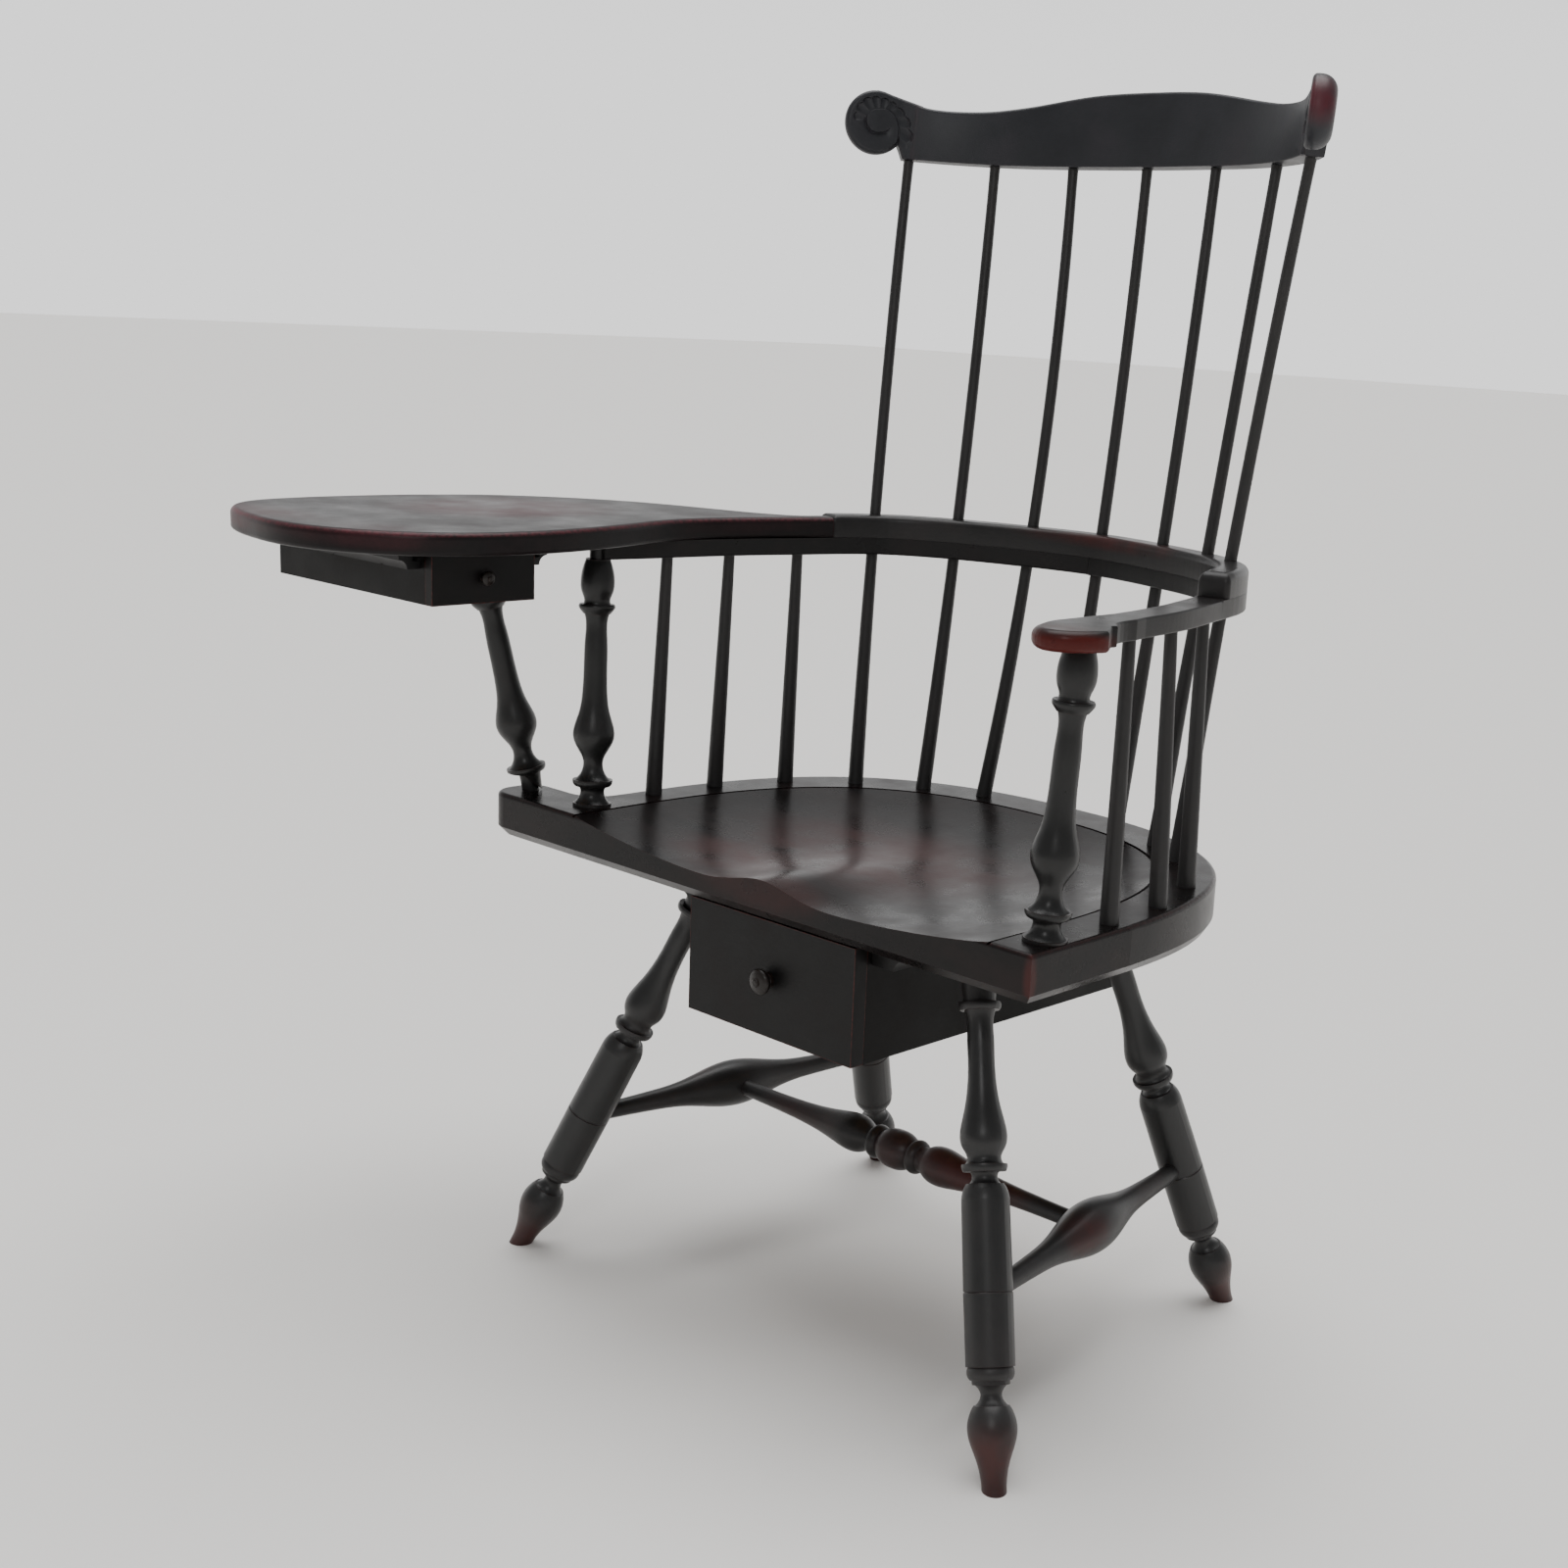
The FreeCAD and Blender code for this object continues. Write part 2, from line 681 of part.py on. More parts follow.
def long_radius(height):
    """Radius of a long spindle at a height: one taper up to the arm and one above it."""
    if height < arm_height:
        share = (height - seat_height) / (arm_height - seat_height)
        return long_seat_radius + share * (long_arm_radius - long_seat_radius)
    share = (height - arm_height) / (comb_bottom - arm_height)
    return long_arm_radius + share * (long_comb_radius - long_arm_radius)


def ring(middle, heading, radius):
    wire = Part.Wire(Part.makeCircle(radius))
    wire.Placement = FreeCAD.Placement(middle, FreeCAD.Rotation(point(0, 0, 1), heading))
    return wire


def long_body(number, grow=0.0, shoulder=0.0):
    """A long spindle, grown all round for holes, its top lowered by the height of its shoulder."""
    line = long_line(number)
    length = line.LastParameter - line.FirstParameter
    sections = []
    for step in range(long_steps + 1):
        parameter = line.FirstParameter + length * step / long_steps
        spot = line.value(parameter)
        heading = line.tangent(parameter)[0]
        radius = long_radius(spot.z) + grow
        if step == 0:
            sections.append(ring(spot.sub(heading * overrun), heading, radius))
        if step == long_steps:
            spot = spot.sub(heading * shoulder)
        sections.append(ring(spot, heading, radius))
    return Part.makeLoft(sections, True, False)


def long_ends(number):
    """Short straight lines on which a long spindle leaves the seat and enters the comb."""
    line = long_line(number)
    rising = line.tangent(line.FirstParameter)[0]
    arriving = line.tangent(line.LastParameter)[0]
    return ((line.StartPoint, line.StartPoint.add(rising * overrun)),
            (line.EndPoint.sub(arriving * overrun), line.EndPoint))


def seat_socket(foot, top, radius, depth):
    return rod(foot, top, radius + glue_gap, depth + glue_gap, overrun)


def comb_tenon(number, grow=0.0):
    low, top = long_ends(number)[1]
    return rod(low, along(top, low, -long_comb_depth - grow), long_comb_tenon_radius + grow)


def make_long_spindle(number):
    shoulder = 2 * glue_gap + long_comb_radius * math.tan(math.radians(comb_lean))
    body = long_body(number, 0.0, shoulder)
    body = between(body, seat_height + glue_gap, comb_bottom + comb_height)
    foot, above = long_ends(number)[0]
    seat_tenon = rod(foot, above, long_tenon_radius, long_seat_depth)
    return one_solid(body.fuse([seat_tenon, comb_tenon(number)]))


# Arm and crest
def arm_curve():
    """Middle line of the arm in plan, from the post to the middle of the back."""
    rise = arm_back_y - arm_front_y
    points = [point(arm_half_span * across, arm_front_y + rise * back)
              for across, back in arm_line_shares]
    mirrored = [point(-p.x, p.y) for p in points[:-1]]
    curve = Part.BSplineCurve()
    curve.interpolate(points + mirrored[::-1])
    return curve


def arm_place_at(y, side):
    """Parameter on the arm's middle line where it crosses a plane across the chair."""
    curve = arm_curve()
    middle = (curve.FirstParameter + curve.LastParameter) / 2
    low, high = (curve.FirstParameter, middle) if side > 0 else (curve.LastParameter, middle)
    for step in range(40):
        half = (low + high) / 2
        if curve.value(half).y < y:
            low = half
        else:
            high = half
    return low


def arm_side_points(curve, start, end, offset, steps=16):
    points = []
    for step in range(steps + 1):
        parameter = start + (end - start) * step / steps
        heading = curve.tangent(parameter)[0]
        spot = curve.value(parameter)
        points.append(point(spot.x + heading.y * offset, spot.y - heading.x * offset))
    return points


def ribbon(start, end, low, high):
    """A stretch of the arm between two parameters of its middle line."""
    curve = arm_curve()
    one = arm_side_points(curve, start, end, arm_width / 2)
    other = arm_side_points(curve, start, end, -arm_width / 2)
    edges = [curve_edge(one), line_edge(one[-1], other[-1]), curve_edge(other[::-1]),
             line_edge(other[0], one[0])]
    return prism(Part.Wire(edges), low, high)


def hand_wire():
    """Outline of the hand on the sitter's left, in front of the straight stretch of arm."""
    curve = arm_curve()
    start = arm_place_at(arm_front_y + hand_length * hand_start_share, 1)
    heading = curve.tangent(start)[0]
    spot = curve.value(start)
    outer = point(spot.x + heading.y * arm_width / 2, spot.y - heading.x * arm_width / 2)
    inner = point(spot.x - heading.y * arm_width / 2, spot.y + heading.x * arm_width / 2)

    def hand_point(forward, across):
        return point(inner.x + across * hand_width, inner.y - forward * hand_length)

    inner_run = [hand_point(*share) for share in hand_inner_shares]
    notch = hand_point(*hand_notch_shares)
    hollow = [hand_point(*share) for share in hand_hollow_shares]
    runs = [inner_run, [inner_run[-1], notch], [notch, hollow[0]], hollow,
            [hollow[-1], outer], [outer, inner_run[0]]]
    return start, Part.Wire(chain(runs))


def mortises(side):
    """Everything let into the arm on one side or passing through it."""
    tools = []
    foot, top = post_axis(side)
    tools.append(rod(foot, top, post_tenon_radius + glue_gap, 0, post_arm_depth + glue_gap))
    for number in range(3):
        foot, top = short_axis(side, number)
        tools.append(rod(foot, top, short_tenon_radius + glue_gap, 0, short_arm_depth + glue_gap))
    return tools


def make_arm_left(holes):
    start, outline = hand_wire()
    middle = arm_place_at(arm_back_y, 1)
    back = round_long_rims(ribbon(start, middle, arm_height, arm_top))
    hand = round_long_rims(prism(outline, arm_height, arm_top))
    body = half_of(back.fuse(hand).removeSplitter(), 1)
    return one_solid(body.cut(holes))


def half_of(body, side):
    """What lies on one side of the middle plane, short of it by half a glue line."""
    return body.common(box_between(side * glue_gap / 2, side * trim_span, -trim_span, trim_span,
                                   0, trim_span))


def long_edges(body, height):
    """The edges at one height that run lengthwise, longer than the arm is wide."""
    shortest = arm_width * long_edge_share
    return [edge for edge in edges_at(body, height) if edge.Length > shortest]


def round_long_rims(body):
    rims = long_edges(body, arm_height) + long_edges(body, arm_top)
    return body.makeFillet(arm_edge_round, rims)


def make_arm_right(holes):
    start = arm_place_at(tablet_arm_front_y + arm_width, -1)
    middle = arm_place_at(arm_back_y, -1)
    body = ribbon(start, middle, arm_height, arm_top)
    body = body.makeFillet(arm_edge_round, long_edges(body, arm_height))
    return one_solid(half_of(body, -1).cut(holes))


def make_crest(holes):
    """The doubler over the joint of the two arms, its ends rounded over from the top."""
    start = arm_place_at(crest_end_y, 1)
    end = arm_place_at(crest_tail_y, -1)
    body = ribbon(start, end, arm_top + glue_gap, crest_top)
    shortest = arm_width * long_edge_share
    ends = [edge for edge in edges_at(body, crest_top) if edge.Length < shortest]
    body = body.makeFillet(crest_end_round, ends)
    body = body.makeFillet(crest_top_round, long_edges(body, crest_top))
    return one_solid(body.cut(holes))


# Comb rail
def comb_section(reach, low, high):
    """Upright section of the comb, square to its plan curve, with rounded top corners."""
    x, y, heading = comb_place(reach)
    across = point(-math.sin(-heading), math.cos(heading))
    middle = point(x, y)
    half = comb_thickness / 2
    edge = comb_edge_round
    swing = edge * (1 - math.sqrt(0.5))

    def spot(depth, rise):
        return middle.add(point(across.x * depth, across.y * depth, rise))

    edges = [line_edge(spot(-half, low), spot(-half, high - edge)),
             Part.Arc(spot(-half, high - edge), spot(-half + swing, high - swing),
                      spot(-half + edge, high)).toShape(),
             line_edge(spot(-half + edge, high), spot(half - edge, high)),
             Part.Arc(spot(half - edge, high), spot(half - swing, high - swing),
                      spot(half, high - edge)).toShape(),
             line_edge(spot(half, high - edge), spot(half, low)),
             line_edge(spot(half, low), spot(-half, low))]
    return Part.Wire(edges)


def comb_board():
    stations = [(-share, part) for share, part in comb_top_shares[::-1]]
    stations += list(comb_top_shares[1:])
    sections = []
    for share, part in stations:
        reach = share * comb_half_length
        sections.append(comb_section(reach, comb_bottom_at(reach), part * comb_height))
    return Part.makeLoft(sections, True, False)


def comb_neck(side):
    sections = []
    for share, top_share, bottom_share in neck_shares:
        reach = side * share * comb_half_length
        sections.append(comb_section(reach, bottom_share * comb_height, top_share * comb_height))
    return Part.makeLoft(sections, True, False)


def ear_frame(side):
    """Placement of an ear: its own X along the comb, Y up and Z out of the front face."""
    x, y, heading = comb_place(side * ear_reach)
    front = point(-math.sin(heading), -math.cos(heading))
    run = point(math.cos(heading), -math.sin(heading))
    turn = FreeCAD.Rotation(run, point(0, 0, 1), front, "ZYX")
    return FreeCAD.Placement(point(x, y, ear_rise), turn)


def spiral_ribbon(side):
    """The volute's groove: a band between two spirals, wound inwards from the notch."""
    steps = 20
    inner = []
    outer = []
    for step in range(steps + 1):
        share = step / steps
        angle = math.radians(volute_start) - share * volute_turns * math.tau
        reach = ear_radius * (volute_shares[0] - volute_shares[1] * share)
        width = volute_groove * (0.6 + 0.4 * math.sin(math.pi * share))
        heading = point(-side * math.cos(angle), math.sin(angle))
        inner.append(point(heading.x * (reach - width / 2), heading.y * (reach - width / 2)))
        outer.append(point(heading.x * (reach + width / 2), heading.y * (reach + width / 2)))
    edges = [curve_edge(outer), line_edge(outer[-1], inner[-1]), curve_edge(inner[::-1]),
             line_edge(inner[0], outer[0])]
    half = ear_thickness / 2
    return prism(Part.Wire(edges), half - volute_depth, half + overrun)


def flutes(side):
    """Short hollows fanned round the top of the ear, outside the volute."""
    tools = []
    for number in range(flute_count):
        angle = math.radians(flute_first - flute_sweep * number / (flute_count - 1))
        start, end = [point(-side * math.cos(angle) * ear_radius * share,
                            math.sin(angle) * ear_radius * share) for share in flute_shares]
        lift = point(0, 0, ear_thickness / 2 + flute_radius - flute_depth)
        tools.append(rod(start.add(lift), end.add(lift), flute_radius))
    return tools


def make_ear():
    body = Part.makeCylinder(ear_radius, ear_thickness, point(0, 0, -ear_thickness / 2))
    half = ear_thickness / 2
    front = [edge for edge in edges_at(body, half) if edge.Closed]
    body = body.makeFillet(ear_front_round, front)
    return body.makeFillet(ear_back_round, edges_at(body, -half))


def make_comb(holes):
    body = comb_board()
    for side in (-1, 1):
        neck = comb_neck(side)
        ear = make_ear()
        ear.Placement = ear_frame(side)
        body = body.fuse([neck, ear])
    for side in (-1, 1):
        for tool in [spiral_ribbon(side)] + flutes(side):
            tool.Placement = ear_frame(side).multiply(tool.Placement)
            body = body.cut(tool)
    return lean_back(body).cut(holes)


# Writing tablet
def make_tablet(sockets):
    points = []
    for inward, back in tablet_shares:
        x = tablet_inner_x - tablet_width * inward
        y = tablet_tail_y - tablet_length + tablet_length * back
        points.append(point(x, y))
    wire = Part.Wire([curve_edge(points), line_edge(points[-1], points[0])])
    body = prism(wire, arm_top, tablet_top)
    body = body.makeFillet(tablet_top_round, edges_at(body, tablet_top))
    body = body.makeFillet(tablet_bottom_round, edges_at(body, arm_top))
    return one_solid(body.cut([crest_room()] + sockets))


def crest_room():
    """Cuts the tablet's tail off square to the arm where the crest begins."""
    curve = arm_curve()
    end = arm_place_at(crest_tail_y, -1)
    turn = FreeCAD.Rotation(point(1, 0, 0), curve.tangent(end)[0])
    tool = box_between(-2 * overrun, glue_gap, -2 * arm_width, 2 * arm_width, arm_height, crest_top)
    tool.Placement = FreeCAD.Placement(curve.value(end), turn).multiply(tool.Placement)
    return tool


# Drawers: made with the front's outer face on Y zero, the bottom on Z zero and X across
def drawer_pieces(sizes):
    """A drawer: front, knob, two sides with the strips it slides on, back and bottom."""
    width, length, front_height, side_height, wall, front_wall, panel, knob = sizes
    half = width / 2
    back_y = length - wall
    parts = {}
    floor = box_between(-half + wall - bottom_groove, half - wall + bottom_groove,
                        front_wall - bottom_groove, length, bottom_rise, bottom_rise + panel)
    floor_room = box_between(-half + wall - bottom_groove - glue_gap,
                             half - wall + bottom_groove + glue_gap,
                             front_wall - bottom_groove - glue_gap, length + overrun,
                             bottom_rise - glue_gap, bottom_rise + panel + glue_gap)
    front = box_between(-half, half, 0, front_wall, 0, front_height)
    knob_hole = rod(point(0, -overrun, front_height / 2),
                    point(0, front_wall + overrun, front_height / 2), knob[2] + glue_gap)
    parts["front"] = front.cut([floor_room, knob_hole])
    for side, word in ((-1, "low"), (1, "high")):
        edge = side * half
        inner = edge - side * wall
        wall_box = box_between(edge, inner, front_wall + glue_gap, length, 0, side_height)
        parts["side_" + word] = wall_box.cut(floor_room)
        strip = box_between(edge + side * glue_gap, edge + side * strip_width,
                            front_wall + glue_gap, length, side_height - strip_height, side_height)
        parts["strip_" + word] = strip
    parts["back"] = box_between(-half + wall + glue_gap, half - wall - glue_gap, back_y, length,
                                bottom_rise + panel + glue_gap, side_height)
    parts["bottom"] = floor
    parts["knob"] = drawer_knob(front_wall, front_height, knob)
    return parts


def drawer_knob(front_wall, front_height, knob):
    radius, length, tenon_radius = knob
    root = point(0, 0, front_height / 2)
    tip = point(0, -length, front_height / 2)
    body = turning(scaled(knob_shares, length, radius), root, tip)
    tenon = rod(point(0, front_wall, front_height / 2), along(root, tip, length / 2), tenon_radius)
    return one_solid(body.fuse(tenon))


def box_between(x1, x2, y1, y2, z1, z2):
    box = Part.makeBox(abs(x2 - x1), abs(y2 - y1), abs(z2 - z1))
    box.translate(point(min(x1, x2), min(y1, y2), min(z1, z2)))
    return box


def cleat(side, sizes, top, height, span, screws):
    """A rabbeted runner outside one side of a drawer, with its outer lower edge coved."""
    start, length, width = span
    inner = sizes[0] / 2 + slide_gap
    outer = inner + width
    ledge_top = sizes[3] - strip_height - slide_gap
    low = top - height
    body = box_between(side * inner, side * outer, start, start + length, low, top)
    room = box_between(side * (inner - overrun), side * (inner + strip_width + slide_gap),
                       start - overrun, start + length + overrun, ledge_top, top + overrun)
    body = body.cut(room)
    corner = point(side * outer, start - overrun, low)
    cove = rod(corner, corner.add(point(0, length + 2 * overrun, 0)), height * cleat_cove_share)
    body = body.cut([cove] + screws)
    return one_solid(body)


def screw_spots(side, sizes, span):
    start, length = span[:2]
    x = side * (sizes[0] / 2 + strip_width + 2 * slide_gap + screw_head_radius)
    spacing = length / screw_count
    return [point(x, start + spacing * (number + 0.5)) for number in range(screw_count)]


def screw(spot, low, height, grow=0.0):
    """A wood screw driven up through a runner, its countersunk head let in flush."""
    head = Part.makeCone(screw_head_radius + grow, screw_radius + grow, screw_head_height)
    head.translate(point(spot.x, spot.y, low))
    shank = Part.makeCylinder(screw_radius + grow, height + screw_bite + grow,
                              point(spot.x, spot.y, low))
    return one_solid(head.fuse(shank))


def hung_drawer(sizes, top, height, spans, placement):
    """A drawer with its runners and screws, and the pilot holes that the screws need."""
    parts = drawer_pieces(sizes)
    holes = []
    screws = []
    for side, word in ((-1, "low"), (1, "high")):
        spots = screw_spots(side, sizes, spans[word])
        room = [screw(spot, top - height, height, glue_gap) for spot in spots]
        parts["cleat_" + word] = cleat(side, sizes, top - glue_gap, height, spans[word], room)
        screws += [screw(spot, top - height, height) for spot in spots]
        holes += room
    parts["cleat_screws"] = Part.makeCompound(screws)
    for shape in list(parts.values()) + holes:
        shape.Placement = placement.multiply(shape.Placement)
    return parts, holes


seat_drawer_sizes = (seat_drawer_width, seat_drawer_length, seat_drawer_front_height,
                     seat_drawer_front_height - seat_drawer_side_drop, seat_drawer_wall,
                     seat_drawer_front_wall, seat_drawer_panel,
                     (seat_knob_radius, seat_knob_length, seat_knob_tenon_radius))
tablet_drawer_sizes = (tablet_drawer_width, tablet_drawer_length, tablet_drawer_front_height,
                       tablet_drawer_front_height - tablet_drawer_side_drop, tablet_drawer_wall,
                       tablet_drawer_front_wall, tablet_drawer_panel,
                       (tablet_knob_radius, tablet_knob_length, tablet_knob_tenon_radius))
seat_cleat_span = (seat_cleat_setback, seat_cleat_length, seat_cleat_width)
tablet_cleat_spans = {"low": (front_cleat_setback, front_cleat_length, front_cleat_width),
                      "high": (rear_cleat_setback, rear_cleat_length, rear_cleat_width)}


def seat_drawer_placement():
    return FreeCAD.Placement(point(0, seat_drawer_front_y, seat_drawer_bottom),
                             FreeCAD.Rotation(point(0, 0, 1), 0))


def tablet_drawer_placement():
    turn = FreeCAD.Rotation(point(0, 0, 1), 90 + tablet_drawer_turn)
    corner = point(tablet_drawer_corner_x, tablet_drawer_corner_y, tablet_drawer_bottom)
    middle = corner.add(turn.multVec(point(tablet_drawer_width / 2, 0)))
    return FreeCAD.Placement(middle, turn)


# Everything in its place
def build_pieces():
    pieces = {}
    sides = ((1, "left"), (-1, "right"))
    under_seat, seat_holes = hung_drawer(
        seat_drawer_sizes, seat_underside - seat_drawer_bottom, seat_cleat_height,
        {"low": seat_cleat_span, "high": seat_cleat_span}, seat_drawer_placement())
    under_tablet, tablet_holes = hung_drawer(
        tablet_drawer_sizes, arm_top - tablet_drawer_bottom, tablet_cleat_height,
        tablet_cleat_spans, tablet_drawer_placement())

    seat_tools = list(seat_holes)
    for side, word in sides:
        pieces["leg_front_" + word] = make_leg(True, side)
        pieces["leg_rear_" + word] = make_leg(False, side)
        pieces["side_stretcher_" + word] = make_side_stretcher(side)
        pieces["arm_post_" + word] = make_arm_post(side)
        seat_tools += [leg_socket(front, side) for front in (True, False)]
        seat_tools.append(seat_socket(*post_axis(side), post_tenon_radius, post_seat_depth))
        for number in range(3):
            name = "short_spindle_%s_%d" % (word, number + 1)
            pieces[name] = make_short_spindle(side, number)
            seat_tools.append(seat_socket(*short_axis(side, number), short_tenon_radius,
                                          short_seat_depth))
    pieces["medial_stretcher"] = make_medial_stretcher()
    pieces["tablet_post"] = make_tablet_post()
    seat_tools.append(seat_socket(*tablet_post_axis(), post_tenon_radius, post_seat_depth))

    comb_tools = []
    for number in range(7):
        pieces["long_spindle_%d" % (number + 1)] = make_long_spindle(number)
        seat_tools.append(seat_socket(*long_ends(number)[0], long_tenon_radius, long_seat_depth))
        comb_tools.append(comb_tenon(number, glue_gap))

    holes = [long_body(number, glue_gap) for number in range(7)]
    foot, top = tablet_post_axis()
    post_hole = rod(foot, top, post_tenon_radius + glue_gap, 0, tablet_post_depth + glue_gap)
    pieces["arm_rail_left"] = make_arm_left(mortises(1) + holes)
    pieces["arm_rail_right"] = make_arm_right(mortises(-1) + holes)
    pieces["arm_crest"] = make_crest(holes)
    pieces["comb_rail"] = make_comb(comb_tools)
    pieces["writing_tablet"] = make_tablet([post_hole] + tablet_holes)
    pieces["seat"] = make_seat(seat_tools)

    for part_name, shape in under_seat.items():
        pieces["seat_" + named(part_name, "right", "left")] = shape
    for part_name, shape in under_tablet.items():
        pieces["tablet_" + named(part_name, "front", "rear")] = shape
    return pieces


def named(part_name, low_word, high_word):
    """The name of a drawer's piece: its runners and screws belong to what it hangs from."""
    name = part_name.replace("low", low_word).replace("high", high_word)
    return name if name.startswith("cleat") else "drawer_" + name


def stand_on_middle(pieces):
    """Move everything alike across the floor until the chair's box has the origin at its middle."""
    boxes = [shape.optimalBoundingBox(False, False) for shape in pieces.values()]
    middle_x = (min(box.XMin for box in boxes) + max(box.XMax for box in boxes)) / 2
    middle_y = (min(box.YMin for box in boxes) + max(box.YMax for box in boxes)) / 2
    for shape in pieces.values():
        shape.translate(point(-middle_x, -middle_y))
    return middle_x, middle_y


def main():
    pieces = build_pieces()
    middle_x, middle_y = stand_on_middle(pieces)
    for name, shape in sorted(pieces.items()):
        shape.exportStep("parts/" + name + ".step")
    print(len(pieces), "pieces; the origin was at", round(-middle_x, 3), round(-middle_y, 3))


main()
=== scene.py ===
import math

import bmesh
import bpy
from mathutils import Euler, Matrix, Vector, kdtree


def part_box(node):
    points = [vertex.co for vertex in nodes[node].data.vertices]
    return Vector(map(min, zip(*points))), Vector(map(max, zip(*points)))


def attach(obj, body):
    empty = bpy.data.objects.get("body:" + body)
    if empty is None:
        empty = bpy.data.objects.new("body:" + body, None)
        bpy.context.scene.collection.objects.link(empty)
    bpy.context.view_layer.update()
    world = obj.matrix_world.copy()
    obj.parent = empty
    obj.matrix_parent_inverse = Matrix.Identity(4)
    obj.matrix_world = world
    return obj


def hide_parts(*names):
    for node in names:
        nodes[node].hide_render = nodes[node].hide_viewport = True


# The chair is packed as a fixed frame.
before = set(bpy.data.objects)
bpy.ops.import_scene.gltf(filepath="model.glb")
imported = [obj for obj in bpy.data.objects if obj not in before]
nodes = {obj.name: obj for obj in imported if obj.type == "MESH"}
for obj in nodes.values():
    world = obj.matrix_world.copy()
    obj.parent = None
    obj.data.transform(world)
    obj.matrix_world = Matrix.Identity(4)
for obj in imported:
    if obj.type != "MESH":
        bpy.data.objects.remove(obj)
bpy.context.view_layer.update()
CHAIR_MIDDLE = Vector((0.11078, -0.12266, 0.0))   # the seat's front middle, on the floor


# Camera: a plain lens at standing height, in front of the chair's left arm and
# turned a little, with the picture cropped off its middle.
CAMERA_PLACE = Vector((1.2719, -1.19701, 0.90526)) + CHAIR_MIDDLE
PICTURE = 1600                    # the picture's side, in pixels, as for the next two
FOCAL_LENGTH = 2172.27
LENS_MIDDLE = (966.55, 864.83)
CAMERA_YAW, CAMERA_PITCH, CAMERA_ROLL = 41.62, 14.02, 3.12    # degrees
camera_data = bpy.data.cameras.new("camera")
camera_data.sensor_width = 36.0
camera_data.lens = FOCAL_LENGTH / PICTURE * camera_data.sensor_width
camera_data.shift_x = (PICTURE / 2 - LENS_MIDDLE[0]) / PICTURE
camera_data.shift_y = (LENS_MIDDLE[1] - PICTURE / 2) / PICTURE
camera_data.clip_start = 0.05
camera = bpy.data.objects.new("camera", camera_data)
bpy.context.scene.collection.objects.link(camera)
turned = Euler((math.radians(90 - CAMERA_PITCH), 0, math.radians(CAMERA_YAW))).to_matrix()
rolled = turned @ Euler((0, 0, math.radians(CAMERA_ROLL))).to_matrix()
camera.matrix_world = Matrix.Translation(CAMERA_PLACE) @ rolled.to_4x4()
bpy.context.scene.camera = camera


# Studio: a pale matt floor, a bright wall behind the chair that the waxed tops
# mirror at a low angle, a dim room in front, and soft lamps above.
def linear(hex_colour):
    """An sRGB colour such as 1c1b1d as linear red, green, blue and alpha."""
    values = [int(hex_colour[i:i + 2], 16) / 255 for i in (0, 2, 4)]
    return [v / 12.92 if v <= 0.04045 else ((v + 0.055) / 1.055) ** 2.4 for v in values] + [1.0]


def add_node(tree, kind, sockets=None, **settings):
    """Add a shader node, with its settings, its sockets' values and its links."""
    node = tree.nodes.new("ShaderNode" + kind)
    for name, value in settings.items():
        setattr(node, name, value)
    for name, value in (sockets or {}).items():
        if isinstance(value, bpy.types.NodeSocket):
            tree.links.new(value, node.inputs[name])
        else:
            node.inputs[name].default_value = value
    return node


def new_material(name):
    """An empty node material, and its node tree."""
    material = bpy.data.materials.new(name)
    material.use_nodes = True
    material.node_tree.nodes.clear()
    return material, material.node_tree


def new_piece(name, points, faces, material):
    """An object from points and faces, shaded smooth."""
    mesh = bpy.data.meshes.new(name)
    mesh.from_pydata(points, [], faces)
    mesh.materials.append(material)
    mesh.polygons.foreach_set("use_smooth", [True] * len(mesh.polygons))
    piece = bpy.data.objects.new(name, mesh)
    bpy.context.scene.collection.objects.link(piece)
    return piece


FLOOR_HALF = 40.0
WALL_DIRECTION = (-0.664, 0.747, 0.0)
floor_paint, tree = new_material("pale_matt_floor")
shader = add_node(tree, "BsdfPrincipled", {"Base Color": linear("e9e7e4"), "Roughness": 0.9})
add_node(tree, "OutputMaterial", {"Surface": shader.outputs[0]})
floor_corners = [(x * FLOOR_HALF, y * FLOOR_HALF, 0) for x, y in ((-1, -1), (1, -1), (1, 1), (-1, 1))]
new_piece("floor", floor_corners, [(0, 1, 2, 3)], floor_paint)

world = bpy.data.worlds.new("studio")
bpy.context.scene.world = world
world.use_nodes = True
tree = world.node_tree
tree.nodes.clear()
heading = add_node(tree, "TexCoord").outputs["Generated"]
toward = add_node(tree, "VectorMath", {0: heading, 1: WALL_DIRECTION}, operation="DOT_PRODUCT")
wall_light = add_node(tree, "MapRange", {"Value": toward.outputs["Value"], "From Min": -0.1, "From Max": 0.75,
                                         "To Min": 0.0, "To Max": 1.0})
rise = add_node(tree, "SeparateXYZ", {"Vector": heading}).outputs["Z"]
low_light = add_node(tree, "MapRange", {"Value": rise, "From Min": 0.10, "From Max": 0.42, "To Min": 1.0,
                                        "To Max": 0.12}, interpolation_type="SMOOTHSTEP")
glow = add_node(tree, "Math", {0: wall_light.outputs[0], 1: low_light.outputs[0]}, operation="MULTIPLY")
room_light = add_node(tree, "Math", {0: glow.outputs[0], 1: 0.385}, operation="ADD")
sky = add_node(tree, "Background", {"Color": linear("ffffff"), "Strength": room_light.outputs[0]})
add_node(tree, "OutputWorld", {"Surface": sky.outputs[0]})


def soft_light(name, kind, place, target, energy):
    """A lamp of a kind at a place, turned to a target."""
    data = bpy.data.lights.new(name, kind)
    data.energy = energy
    light = bpy.data.objects.new(name, data)
    bpy.context.scene.collection.objects.link(light)
    light.location = place
    light.rotation_euler = (Vector(target) - Vector(place)).to_track_quat("-Z", "Y").to_euler()
    return data


